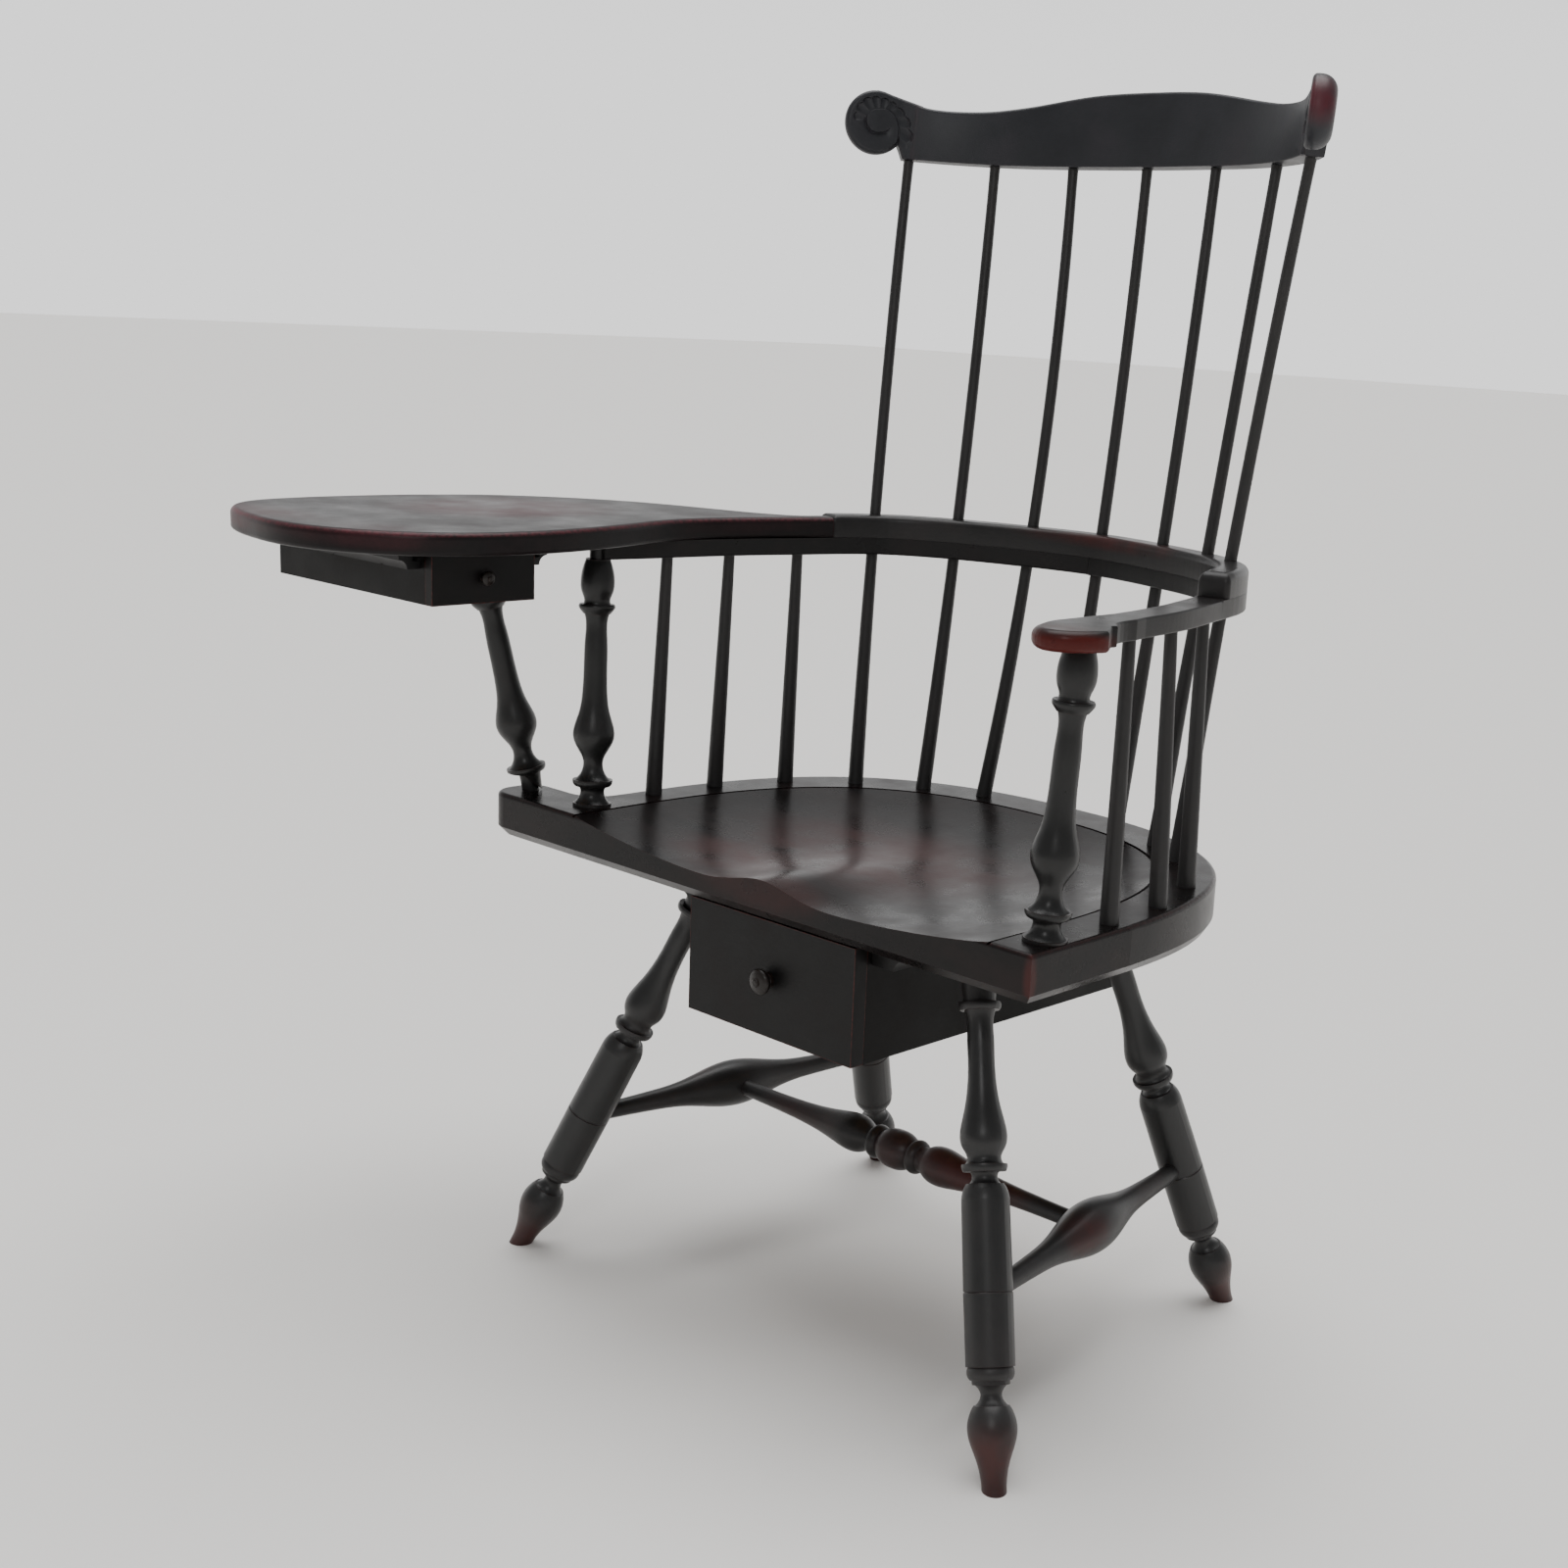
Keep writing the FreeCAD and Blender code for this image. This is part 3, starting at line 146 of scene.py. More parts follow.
soft_light("overhead", "SUN", (-0.3, 0.5, 3.0), (0.1, 0.1, 0.5), 3.0).angle = math.radians(55)
soft_light("front_lamp", "AREA", (1.9, -2.4, 2.5), (0.1, 0, 0.6), 16).size = 0.6


# Seat: a thick pine plank, saddled, with a gutter cut round the hollow, painted
# dark red, then black, and waxed.  Years of sitting rubbed the top to a satin
# brown-black, and its front left corner down to the red.
def rubbed_paint(name, top="272626", under="56201a", edge=0.3, patches=0.0, rough=0.36, shine=0.4,
                 along=(0, 0, 1), zones=(), grain=0.25, haze="1b1a1a", haze_amount=0.0, arris=0.0025, rim=0.0):
    """Black milk paint over dark red, waxed: rubbed through on the arrises, on rounded upper
    rims and in the zones, each a centre in the chair's metres, a reach per axis and an amount."""
    material, tree = new_material(name)
    place = add_node(tree, "TexCoord").outputs["Object"]
    mottle = add_node(tree, "TexNoise", {"Vector": place, "Scale": 16.0, "Detail": 6.0, "Roughness": 0.62})
    fine = add_node(tree, "TexNoise", {"Vector": place, "Scale": 260.0, "Detail": 3.0})
    stretch = Vector([50 if a else 1300 for a in along])
    grain_place = add_node(tree, "VectorMath", {0: place, 1: stretch}, operation="MULTIPLY")
    fibres = add_node(tree, "TexNoise", {"Vector": grain_place.outputs[0], "Scale": 1.0, "Detail": 2.0})
    plain = add_node(tree, "NewGeometry").outputs["Normal"]
    bevel = add_node(tree, "Bevel", {"Radius": arris}, samples=6)
    turn = add_node(tree, "VectorMath", {0: bevel.outputs[0], 1: plain}, operation="DOT_PRODUCT")
    sharp = add_node(tree, "MapRange", {"Value": turn.outputs["Value"], "From Min": 0.985, "From Max": 0.88,
                                        "To Min": 0.0, "To Max": edge})
    broken = add_node(tree, "MapRange", {"Value": fine.outputs[0], "From Min": 0.36, "From Max": 0.62,
                                         "To Min": 0.25})
    edge_wear = add_node(tree, "Math", {0: sharp.outputs[0], 1: broken.outputs[0]}, operation="MULTIPLY")
    worn = add_node(tree, "MapRange", {"Value": mottle.outputs[0], "From Min": 0.50, "From Max": 0.74,
                                       "To Min": 0.0, "To Max": patches})
    total = add_node(tree, "Math", {0: edge_wear.outputs[0], 1: worn.outputs[0]}, operation="ADD")
    if rim:
        upward = add_node(tree, "SeparateXYZ", {"Vector": plain}).outputs["Z"]
        off_side = add_node(tree, "MapRange", {"Value": upward, "From Min": 0.30, "From Max": 0.65,
                                               "To Min": 0.0, "To Max": rim})
        off_top = add_node(tree, "MapRange", {"Value": upward, "From Min": 0.985, "From Max": 0.85})
        rim_wear = add_node(tree, "Math", {0: off_side.outputs[0], 1: off_top.outputs[0]}, operation="MULTIPLY")
        chipped = add_node(tree, "Math", {0: rim_wear.outputs[0], 1: broken.outputs[0]}, operation="MULTIPLY")
        total = add_node(tree, "Math", {0: total.outputs[0], 1: chipped.outputs[0]}, operation="ADD")
    uneven = add_node(tree, "MapRange", {"Value": mottle.outputs[0], "From Min": 0.34, "From Max": 0.56,
                                         "To Min": 0.3})
    for centre, reach, amount in zones:
        away = add_node(tree, "VectorMath", {0: place, 1: Vector(centre) + CHAIR_MIDDLE}, operation="SUBTRACT")
        scaled = add_node(tree, "VectorMath", {0: away.outputs[0], 1: reach}, operation="DIVIDE")
        gap = add_node(tree, "VectorMath", {0: scaled.outputs[0]}, operation="LENGTH")
        near = add_node(tree, "MapRange", {"Value": gap.outputs["Value"], "From Min": 1.0, "From Max": 0.35,
                                           "To Min": 0.0, "To Max": amount}, interpolation_type="SMOOTHSTEP")
        zone = add_node(tree, "Math", {0: near.outputs[0], 1: uneven.outputs[0]}, operation="MULTIPLY")
        total = add_node(tree, "Math", {0: total.outputs[0], 1: zone.outputs[0]}, operation="ADD")
    total.use_clamp = True
    tint = add_node(tree, "MapRange", {"Value": mottle.outputs[0], "From Min": 0.3, "From Max": 0.7,
                                       "To Min": 0.8, "To Max": 1.2})
    paint = add_node(tree, "VectorMath", {0: linear(top)[:3], "Scale": tint.outputs[0]}, operation="SCALE")
    streak_place = add_node(tree, "VectorMath", {0: place, 1: Vector([5 if a else 17 for a in along])},
                            operation="MULTIPLY")
    streaks = add_node(tree, "TexNoise", {"Vector": streak_place.outputs[0], "Scale": 1.0, "Detail": 7.0,
                                          "Roughness": 0.65, "Distortion": 0.6})
    veil = add_node(tree, "MapRange", {"Value": streaks.outputs[0], "From Min": 0.42, "From Max": 0.66,
                                       "To Min": 0.0, "To Max": haze_amount})
    hazed = add_node(tree, "Mix", {0: veil.outputs[0], 6: paint.outputs[0], 7: linear(haze)},
                     data_type="RGBA")
    colour = add_node(tree, "Mix", {0: total.outputs[0], 6: hazed.outputs[2], 7: linear(under)},
                      data_type="RGBA")
    gloss = add_node(tree, "MapRange", {"Value": mottle.outputs[0], "From Min": 0.3, "From Max": 0.7,
                                        "To Min": rough - 0.06, "To Max": rough + 0.09})
    low = add_node(tree, "Bump", {"Height": fibres.outputs[0], "Distance": 0.0003, "Strength": grain})
    bump = add_node(tree, "Bump", {"Height": fine.outputs[0], "Distance": 0.0004, "Strength": 0.16,
                                   "Normal": low.outputs[0]})
    shader = add_node(tree, "BsdfPrincipled", {"Base Color": colour.outputs[2], "Roughness": gloss.outputs[0],
                                               "IOR": 1.45, "Specular IOR Level": shine,
                                               "Normal": bump.outputs[0]})
    add_node(tree, "OutputMaterial", {"Surface": shader.outputs[0]})
    return material


def paint_nodes(material, *names):
    """Give the solids of these names one material."""
    for name in names:
        nodes[name].data.materials.clear()
        nodes[name].data.materials.append(material)


# Satin wax over black and red: the eye gets soft mirror images of the spindles, brown
# streaks in the hollow and a thin red line down the worn corner.
seat_paint = rubbed_paint(
    "waxed_black_paint_on_pine_seat", top="100e0e", under="4c2220", edge=0.12, patches=0.05, rough=0.28,
    shine=0.22, along=(1, 0, 0), haze="241a19", haze_amount=0.5, rim=0.2, grain=0.1,
    zones=(((0.300, 0.000, 0.420), (0.010, 0.010, 0.028), 0.6),
           ((-0.02, 0.16, 0.425), (0.20, 0.13, 0.05), 0.35),
           ((-0.10, 0.06, 0.430), (0.10, 0.06, 0.03), 0.35),
           ((0.0, 0.0, 0.430), (0.10, 0.05, 0.03), 0.3)))
paint_nodes(seat_paint, "seat")


# Legs: four maple turnings, driven into the seat, with vase, rings and cylinder
# turned in and a bulb for a foot.  Shoes wore the feet down to the red.
leg_names = ["leg_%s_%s" % (end, side) for end in ("front", "rear") for side in ("left", "right")]
FEET = ((0.3097, -0.0159), (-0.3097, -0.0159), (0.2306, 0.4087), (-0.2306, 0.4087))
foot_zones = [((x * 0.985, y, 0.020), (0.045, 0.045, 0.042), 0.75) for x, y in FEET]
# Dull wax over black on the shafts, rubbed oxblood red on the bulbs.
leg_paint = rubbed_paint("waxed_black_paint_on_turned_legs", top="222222", edge=0.18, patches=0.06, rough=0.35,
                         shine=0.5, under="461a16", zones=foot_zones)
paint_nodes(leg_paint, *leg_names)


# Stretchers: two turned side stretchers with one swell each, and a medial one with
# rings and vases, tenoned between them.  Heels rubbed the swells to the red.
side_zones = [((0.262, 0.160, 0.150), (0.040, 0.040, 0.030), 0.6),
              ((-0.262, 0.160, 0.150), (0.040, 0.040, 0.030), 0.6)]
medial_zones = [((0.10, 0.175, 0.152), (0.085, 0.05, 0.04), 0.62), ((0.0, 0.175, 0.152), (0.03, 0.05, 0.04), 0.3),
                ((-0.12, 0.175, 0.152), (0.07, 0.05, 0.04), 0.25)]
# Thin black over oxblood, which glows through on the swells.
stretcher_paint = rubbed_paint("rubbed_black_paint_on_stretchers", edge=0.15, patches=0.08, rough=0.37,
                               under="481916", along=(1, 0, 0), zones=side_zones + medial_zones)
paint_nodes(stretcher_paint, "side_stretcher_left", "side_stretcher_right", "medial_stretcher")


# Arm posts: three turned maple posts with a vase and rings, let into the seat and
# into the arm; the third stands outside the seat's corner under the tablet.
# Satin black with a thread of worn paint on each ring's arris.
post_paint = rubbed_paint("waxed_black_paint_on_posts", top="1f1f1f", edge=0.2, patches=0.05, rough=0.33,
                          shine=0.38, under="4c2420")
paint_nodes(post_paint, "arm_post_left", "arm_post_right", "tablet_post")
# The post under the tablet was turned with its vase and rings higher up the shaft: its
# heights along the lean are stretched below the lower ring and shortened over the upper one.
VASE_RISE = 0.017
SEAT_TOP = 0.440
SHAFT_FOOT = 0.003        # how far under the seat's top the stretching starts
NECK = 0.040              # how far below the post's upper end the shortening starts
END_SPOTS = 40            # points at each end that give the post's middle line


def share_of(value, start, end):
    """0 at the start, 1 at the end, straight between them."""
    return min(max((value - start) / (end - start), 0.0), 1.0)


turned_post = nodes["tablet_post"].data
spots = sorted((vertex.co for vertex in turned_post.vertices), key=lambda spot: spot.z)
foot = sum(spots[:END_SPOTS], Vector()) / END_SPOTS
lean = (sum(spots[-END_SPOTS:], Vector()) / END_SPOTS - foot).normalized()
reaches = [(vertex.co - foot).dot(lean) for vertex in turned_post.vertices]
seat_reach = (SEAT_TOP - foot.z) / lean.z
end_reach = max(reaches)
points = []
for vertex, reach in zip(turned_post.vertices, reaches):
    share = share_of(reach, seat_reach - SHAFT_FOOT, seat_reach) * share_of(end_reach - reach, 0.0, NECK)
    points.append(vertex.co + lean * VASE_RISE * share)
faces = [tuple(face.vertices) for face in turned_post.polygons]
post = new_piece("tablet_post_turned", points, faces, post_paint)
post.data.set_sharp_from_angle(angle=math.radians(40))
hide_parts("tablet_post")
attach(post, "chair_frame")


# Spindles: whittled hickory rods, seven long ones from the seat through the arm up
# to the comb and three short ones under each arm.
# Nearly even dull black, as nothing rubs against them.
spindle_paint = rubbed_paint("dull_black_paint_on_spindles", edge=0.0, patches=0.03, rough=0.42, grain=0.45)
paint_nodes(spindle_paint, *["long_spindle_%d" % n for n in range(1, 8)])
paint_nodes(spindle_paint, *["short_spindle_%s_%d" % (side, n) for side in ("left", "right") for n in (1, 2, 3)])


# Arm: two sawn rails that meet at the middle of the back, with a flat carved hand
# on the left one.  The hand's nose is rubbed bare of black.
# Satin black, grey with dust on the flats, and open brick red round the nose.
arm_paint = rubbed_paint(
    "waxed_black_paint_on_arm", top="202020", edge=0.0, patches=0.04, rough=0.30, shine=0.17, under="4b1b18",
    along=(0, 1, 0), haze="262020", haze_amount=0.4,
    zones=(((0.292, 0.014, 0.6745), (0.075, 0.065, 0.0135), 2.0),
           ((0.292, 0.014, 0.688), (0.045, 0.035, 0.006), 0.2)))
paint_nodes(arm_paint, "arm_rail_left", "arm_rail_right")


def outline_at(node, height):
    """The longest closed outline of a node's mesh at a height, as plan points."""
    mesh = bmesh.new()
    mesh.from_mesh(nodes[node].data)
    bmesh.ops.remove_doubles(mesh, verts=mesh.verts, dist=1e-6)
    cut = bmesh.ops.bisect_plane(mesh, geom=list(mesh.verts) + list(mesh.edges) + list(mesh.faces),
                                 plane_co=(0, 0, height), plane_no=(0, 0, 1),
                                 clear_inner=True, clear_outer=True)
    left = {part for part in cut["geom_cut"] if isinstance(part, bmesh.types.BMVert)}
    loops = []
    while left:
        vertex = min(left, key=lambda vertex: tuple(vertex.co))
        left.discard(vertex)
        loop = [vertex]
        while vertex:
            vertex = next((edge.other_vert(vertex) for edge in vertex.link_edges
                           if edge.other_vert(vertex) in left), None)
            if vertex:
                left.discard(vertex)
                loop.append(vertex)
        loops.append([vertex.co.to_2d() for vertex in loop])
    mesh.free()
    return max(loops, key=lambda loop: sum((a - b).length for a, b in zip(loop, loop[1:])))


def evenly(loop, spacing):
    """Points at an even spacing round a closed loop, to the left as seen from above."""
    area = sum(a.x * b.y - b.x * a.y for a, b in zip(loop, loop[1:] + loop[:1]))
    if area < 0:
        loop = loop[::-1]
    points = []
    left = 0.0
    for a, b in zip(loop, loop[1:] + loop[:1]):
        length = (b - a).length
        while left < length:
            points.append(a.lerp(b, left / length))
            left += spacing
        left -= length
    return points


LEAST_INSET = 0.0008      # under the outline's spacing no two points can cross
ROUND_STEPS = 6           # steps in a quarter turn of a rounded rim
RIM_FLAT = 0.0006         # a narrow flat inside a rounding keeps the board's face from bulging


def inset_loop(loop, inward, insets, nearest):
    """The outline moved inward; a point that would cross at a corner joins its neighbour."""
    spots = [p + n * inset for p, n, inset in zip(loop, inward, insets)]
    clear = [inset < LEAST_INSET or nearest.find(spot.to_3d())[2] > inset * 0.96
             for spot, inset in zip(spots, insets)]
    joined = []
    for number in range(len(loop)):
        step = 0
        while not clear[number - step] and not clear[(number + step) % len(loop)]:
            step += 1
        joined.append(spots[number - step] if clear[number - step] else spots[(number + step) % len(loop)])
    return joined


def rounded_board(name, loop, low, high, low_rounds, top_rounds, material):
    """A board over an outline, with each point's own rounding at its lower and upper rims."""
    count = len(loop)
    inward = []
    for number in range(count):
        run = loop[(number + 2) % count] - loop[number - 2]
        inward.append(Vector((-run.y, run.x)).normalized())
    nearest = kdtree.KDTree(count)
    for number, point in enumerate(loop):
        nearest.insert(point.to_3d(), number)
    nearest.balance()
    swings = [math.radians(90 / ROUND_STEPS * step) for step in range(ROUND_STEPS + 1)]
    rings = [(1 - math.cos(swing), 1 - math.sin(swing), 0.0) for swing in swings] + [(1.0, 0.0, RIM_FLAT)]
    points = []
    for end, way, rounds in ((low, 1, low_rounds), (high, -1, top_rounds)):
        for inset, drop, flat in rings[::-way]:
            spots = inset_loop(loop, inward, [r * inset + flat for r in rounds], nearest)
            points += [(*spot, end + way * r * drop) for spot, r in zip(spots, rounds)]
    levels = len(points) // count
    faces = [(level * count + a, level * count + (a + 1) % count,
              (level + 1) * count + (a + 1) % count, (level + 1) * count + a)
             for level in range(levels - 1) for a in range(count)]
    faces.append(tuple(range(count))[::-1])
    faces.append(tuple(range((levels - 1) * count, levels * count)))
    return new_piece(name, points, faces, material)


def eased(value, start, end):
    """0 at the start, 1 at the end, smooth between them."""
    share = share_of(value, start, end)
    return share * share * (3 - 2 * share)


OUTLINE_SPACING = 0.0010
HAND_ROUND = 0.0072
ARM_ROUND = 0.0020
SAWN_ROUND = 0.0002       # for arrises that touch another piece
HAND_DEPTH = 0.050        # how far back from its nose the hand is rounded
HAND_EASE = 0.030         # the length over which that rounding fades out
JOINT_END = CHAIR_MIDDLE.x + 0.004         # the joint's face lies on the middle plane
CREST_START = CHAIR_MIDDLE.y + 0.272       # behind it the arm meets the crest in one flat side
low_arm, high_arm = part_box("arm_rail_left")
arm_loop = evenly(outline_at("arm_rail_left", (low_arm[2] + high_arm[2]) / 2), OUTLINE_SPACING)
nose = min(point.y for point in arm_loop)
arm_rounds = []
arm_tops = []
for point in arm_loop:
    size = ARM_ROUND + (HAND_ROUND - ARM_ROUND) * eased(nose + HAND_DEPTH - point.y, 0.0, HAND_EASE)
    arm_rounds.append(size if point.x > JOINT_END else SAWN_ROUND)
    arm_tops.append(arm_rounds[-1] if point.y < CREST_START else SAWN_ROUND)
arm_board = rounded_board("arm_and_hand_left", arm_loop, low_arm[2], high_arm[2],
                          arm_rounds, arm_tops, arm_paint)
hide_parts("arm_rail_left")
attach(arm_board, "chair_frame")


# Crest: a sawn doubler that covers the arm's joint, glued down on it, its top edges
# rounded and its ends rounded over more.
# Satin black, thinned to red along the front of its round top edge.
crest_paint = rubbed_paint("waxed_black_paint_on_crest", edge=0.05, patches=0.06, rough=0.33, under="4a1f1e",
                           shine=0.28, along=(1, 0, 0),
                           zones=(((0.03, 0.405, 0.705), (0.13, 0.03, 0.012), 0.6),))
paint_nodes(crest_paint, "arm_crest")
CREST_ROUND = 0.0062
CREST_END_ROUND = 0.0095
CREST_END = 0.024         # the length of an end with the larger rounding
CREST_EASE = 0.020        # the part of it over which the rounding grows
SECTION_RISE = 0.004      # the height over its underside that gives the crest's outline
low_crest, high_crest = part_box("arm_crest")
crest_loop = evenly(outline_at("arm_crest", low_crest[2] + SECTION_RISE), OUTLINE_SPACING)
crest_front = min(point.y for point in crest_loop)
crest_tops = []
for point in crest_loop:
    growth = eased(crest_front + CREST_END - point.y, 0.0, CREST_EASE)
    crest_tops.append(CREST_ROUND + (CREST_END_ROUND - CREST_ROUND) * growth)
crest = rounded_board("rounded_crest", crest_loop, low_crest[2], high_crest[2],
                      [SAWN_ROUND] * len(crest_loop), crest_tops, crest_paint)
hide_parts("arm_crest")
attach(crest, "chair_frame")


# Comb: a bent rail with a serpentine top between two carved volutes, bored from
# below for the long spindles.
# Even black with a slight blue, and oxblood round the rim of the left volute.
comb_paint = rubbed_paint("waxed_black_paint_on_comb", top="25262a", edge=0.1, patches=0.05, rough=0.42,
                          under="4c1d26", along=(1, 0, 0),
                          zones=(((0.274, 0.334, 1.094), (0.030, 0.034, 0.030), 1.1),))
# The rail is bent in plan, and each ear's face is carved: an eye in a scroll that winds out
# to the notch below, a fan of gouge cuts round it, and a plain rim.  Lengths are in
# millimetres; an ear's own are across towards the comb and up, from the ear's middle.
COMB_MIDDLE = Vector((0.0, 463.8, 1047.6))
COMB_LEAN = math.radians(5.4)
COMB_MID_RADIUS = 560.0
COMB_MID_HALF = 105.0
COMB_END_RADIUS = 235.0
COMB_HALF_THICK = 10.0
COMB_EDGE_ROUND = 4.0
COMB_LOW_ROUND = 0.8
COMB_TOP = ((0, 67.4), (30, 67.0), (60, 65.4), (85, 62.4), (109, 58.4), (130, 54.6), (150, 51.2), (171, 47.9),
            (192, 45.6), (218, 44.0), (230, 43.9), (239, 44.2), (248, 45.6), (257, 47.6), (265.4, 49.5),
            (271, 50.6), (276, 51.2))
COMB_LOW = ((0, 0.0), (60, -0.3), (120, -1.3), (180, -2.9), (220, -4.2), (259, -5.6), (260, -5.6), (263.4, 2.0),
            (266.2, 7.2), (270, 13.0), (276, 14.0))
EAR_REACH = 288.0
EAR_MIDDLE = (-2.0, 24.5)       # past the reach, and up
EAR_RADIUS = 29.8
EAR_HALF_THICK = 11.0
EYE = (2.1, 0.9)
FLUTE_STEP = 24.0               # degrees between two gouge cuts
CUT_DEPTH = 2.5
FACE_ROUND = 4.5
SCROLL_LINE = ((-41, 27.0), (-13, 20.7), (4, 18.4), (45, 14.8), (86, 11.4), (137, 11.6), (177, 12.4), (190, 12.0))
FAN_LINE = ((-50, 36.5), (-16, 37.2), (-7, 33.9), (10, 30.9), (30, 26.9), (60, 23.7), (91, 23.2), (119, 25.0),
            (141, 25.9), (159, 25.9), (190, 25.0))
EYE_LINE = ((-185, 12.4), (-145, 11.6), (-80, 10.3), (-40, 11.6), (-13, 13.7))
TOP_LINE = ((-4.0, 30.3), (5.1, 29.4), (13.5, 27.4), (19.1, 26.2), (24.6, 25.1), (33.5, 23.2), (42.4, 21.2),
            (50.5, 19.8))
END_LINE = ((30.1, -30.1), (26.6, -22.5), (23.8, -17.4), (16.0, -3.0), (0.0, 27.0))
LOW_LINE = ((60.0, -30.1), (30.1, -30.1))


def along_keys(keys, place):
    """The value at a place between keys, with no corners at them."""
    if place <= keys[0][0]:
        return keys[0][1]
    for number in range(len(keys) - 1):
        (start, low), (end, high) = keys[number:number + 2]
        if place <= end:
            before = keys[number - 1] if number else keys[0]
            after = keys[number + 2] if number + 2 < len(keys) else keys[-1]
            leave = (high - before[1]) / (end - before[0]) * (end - start)
            arrive = (after[1] - low) / (after[0] - start) * (end - start)
            share = (place - start) / (end - start)
            return (low + share * leave + share ** 2 * (3 * (high - low) - 2 * leave - arrive)
                    + share ** 3 * (leave + arrive - 2 * (high - low)))
    return keys[-1][1]


def comb_spot(reach, rise, ahead):
    """A point of the comb: along its curve, up from its lower edge, out of its face."""
    side = -1 if reach < 0 else 1
    mid_angle = math.asin(COMB_MID_HALF / COMB_MID_RADIUS)
    past = abs(reach) - COMB_MID_RADIUS * mid_angle
    if past < 0:
        angle = abs(reach) / COMB_MID_RADIUS
        across = COMB_MID_RADIUS * math.sin(angle)
        drop = COMB_MID_RADIUS * (1 - math.cos(angle))
    else:
        angle = mid_angle + past / COMB_END_RADIUS
        across = COMB_MID_HALF + COMB_END_RADIUS * (math.sin(angle) - math.sin(mid_angle))
        drop = (COMB_MID_RADIUS * (1 - math.cos(mid_angle))
                + COMB_END_RADIUS * (math.cos(mid_angle) - math.cos(angle)))
    spot = Vector((side * (across - ahead * math.sin(angle)), -drop - ahead * math.cos(angle), rise))
    leaned = Matrix.Rotation(-COMB_LEAN, 3, "X") @ spot
    return (leaned + COMB_MIDDLE) / 1000 + CHAIR_MIDDLE


def side_of(line, across, up):
    """Distance from a run of straight lines, positive to the right of its direction."""
    best = None
    for (ax, ay), (bx, by) in zip(line, line[1:]):
        length = math.hypot(bx - ax, by - ay)
        dx, dy = (bx - ax) / length, (by - ay) / length
        share = min(max((across - ax) * dx + (up - ay) * dy, 0.0), length)
        away = math.hypot(across - ax - share * dx, up - ay - share * dy)
        turn = (across - ax) * dy - (up - ay) * dx
        if best is None or away < abs(best) - 1e-9:
            best = math.copysign(away, turn)
    return best


def carved_depth(across, up):
    """How deep the carving is at a spot of an ear's face."""
    dx, dy = across - EYE[0], up - EYE[1]
    reach = math.hypot(dx, dy)
    angle = math.degrees(math.atan2(dy, dx))
    fan_angle = angle if angle > -60 else angle + 360
    lobe = (fan_angle + 29) / FLUTE_STEP % 1.0 - 0.5
    depth = 0.0
    if fan_angle < 200:
        near = along_keys(SCROLL_LINE, fan_angle)
        far = along_keys(FAN_LINE, fan_angle) * (1.0 - 0.32 * lobe * lobe)
        share = share_of(reach, near, far)
        ends = eased(fan_angle, -41, -16) * eased(-fan_angle, -194, -178)
        walls = eased(reach, near - 0.2, near + 0.9) * eased(-reach, -far, 1.6 - far)
        gouge = 1.0 - 3.0 * share ** 0.6 * lobe * lobe
        depth = CUT_DEPTH * ends * walls * gouge * (0.60 + 0.40 * share)
        tail = eased(-fan_angle, 6, 30) * math.exp(-((reach - near) / 1.0) ** 2)
        depth = max(depth, 1.5 * tail)
    turned = angle if angle < 0 else angle - 360
    if turned > -215:
        rim = along_keys(EYE_LINE, turned)
        amount = eased(-turned, 12, 55) * eased(turned, -208, -184)
        slope = math.exp(-max(reach - rim - 0.8, 0.0) / 3.6)
        depth = max(depth, CUT_DEPTH * amount * eased(reach, rim - 0.5, rim + 0.6) * slope)
    return depth


def rounding(edge, radius):
    """How far a rounded rim has fallen at a distance inside its outline."""
    if edge < 0:
        return 99.0
    return radius - math.sqrt(radius ** 2 - max(radius - edge, 0.0) ** 2)


def ear_height(across, up):
    """Height of the carved face over the ear's middle plane, or nothing outside its outline."""
    circle = EAR_RADIUS - math.hypot(across, up)
    top, end, low = [side_of(line, across, up) for line in (TOP_LINE, END_LINE, LOW_LINE)]
    if max(circle, min(top, end, low)) < 0.2:
        return None
    fall = min(rounding(circle, FACE_ROUND), max(rounding(top, FACE_ROUND), rounding(end, COMB_LOW_ROUND),
                                                 rounding(low, COMB_LOW_ROUND)))
    board = COMB_HALF_THICK + max(across + EAR_MIDDLE[0], 0.0) ** 2 / (2 * COMB_END_RADIUS)
    return max(EAR_HALF_THICK, board) - carved_depth(across, up) - fall - 0.3 * eased(across, 36, 44)


def rail_section(reach):
    """The rail's section at a reach, low under the carved faces, as (ahead, rise) points."""
    low, high = along_keys(COMB_LOW, abs(reach)), along_keys(COMB_TOP, abs(reach))
    under = eased(abs(reach), 250, 256)
    front = COMB_HALF_THICK - 3.0 * under
    ring = []
    for ahead, rise, radius, first in ((front, low, COMB_LOW_ROUND, 270),
                                       (front, high, COMB_EDGE_ROUND - 3.0 * under, 0),
                                       (-COMB_HALF_THICK, high, COMB_EDGE_ROUND, 90),
                                       (-COMB_HALF_THICK, low, COMB_LOW_ROUND, 180)):
        middle = ahead - math.copysign(radius, ahead), rise + (radius if rise == low else -radius)
        for step in range(ROUND_STEPS + 1):
            swing = math.radians(first + 90 / ROUND_STEPS * step)
            ring.append((middle[0] + radius * math.cos(swing), middle[1] + radius * math.sin(swing)))
    return ring


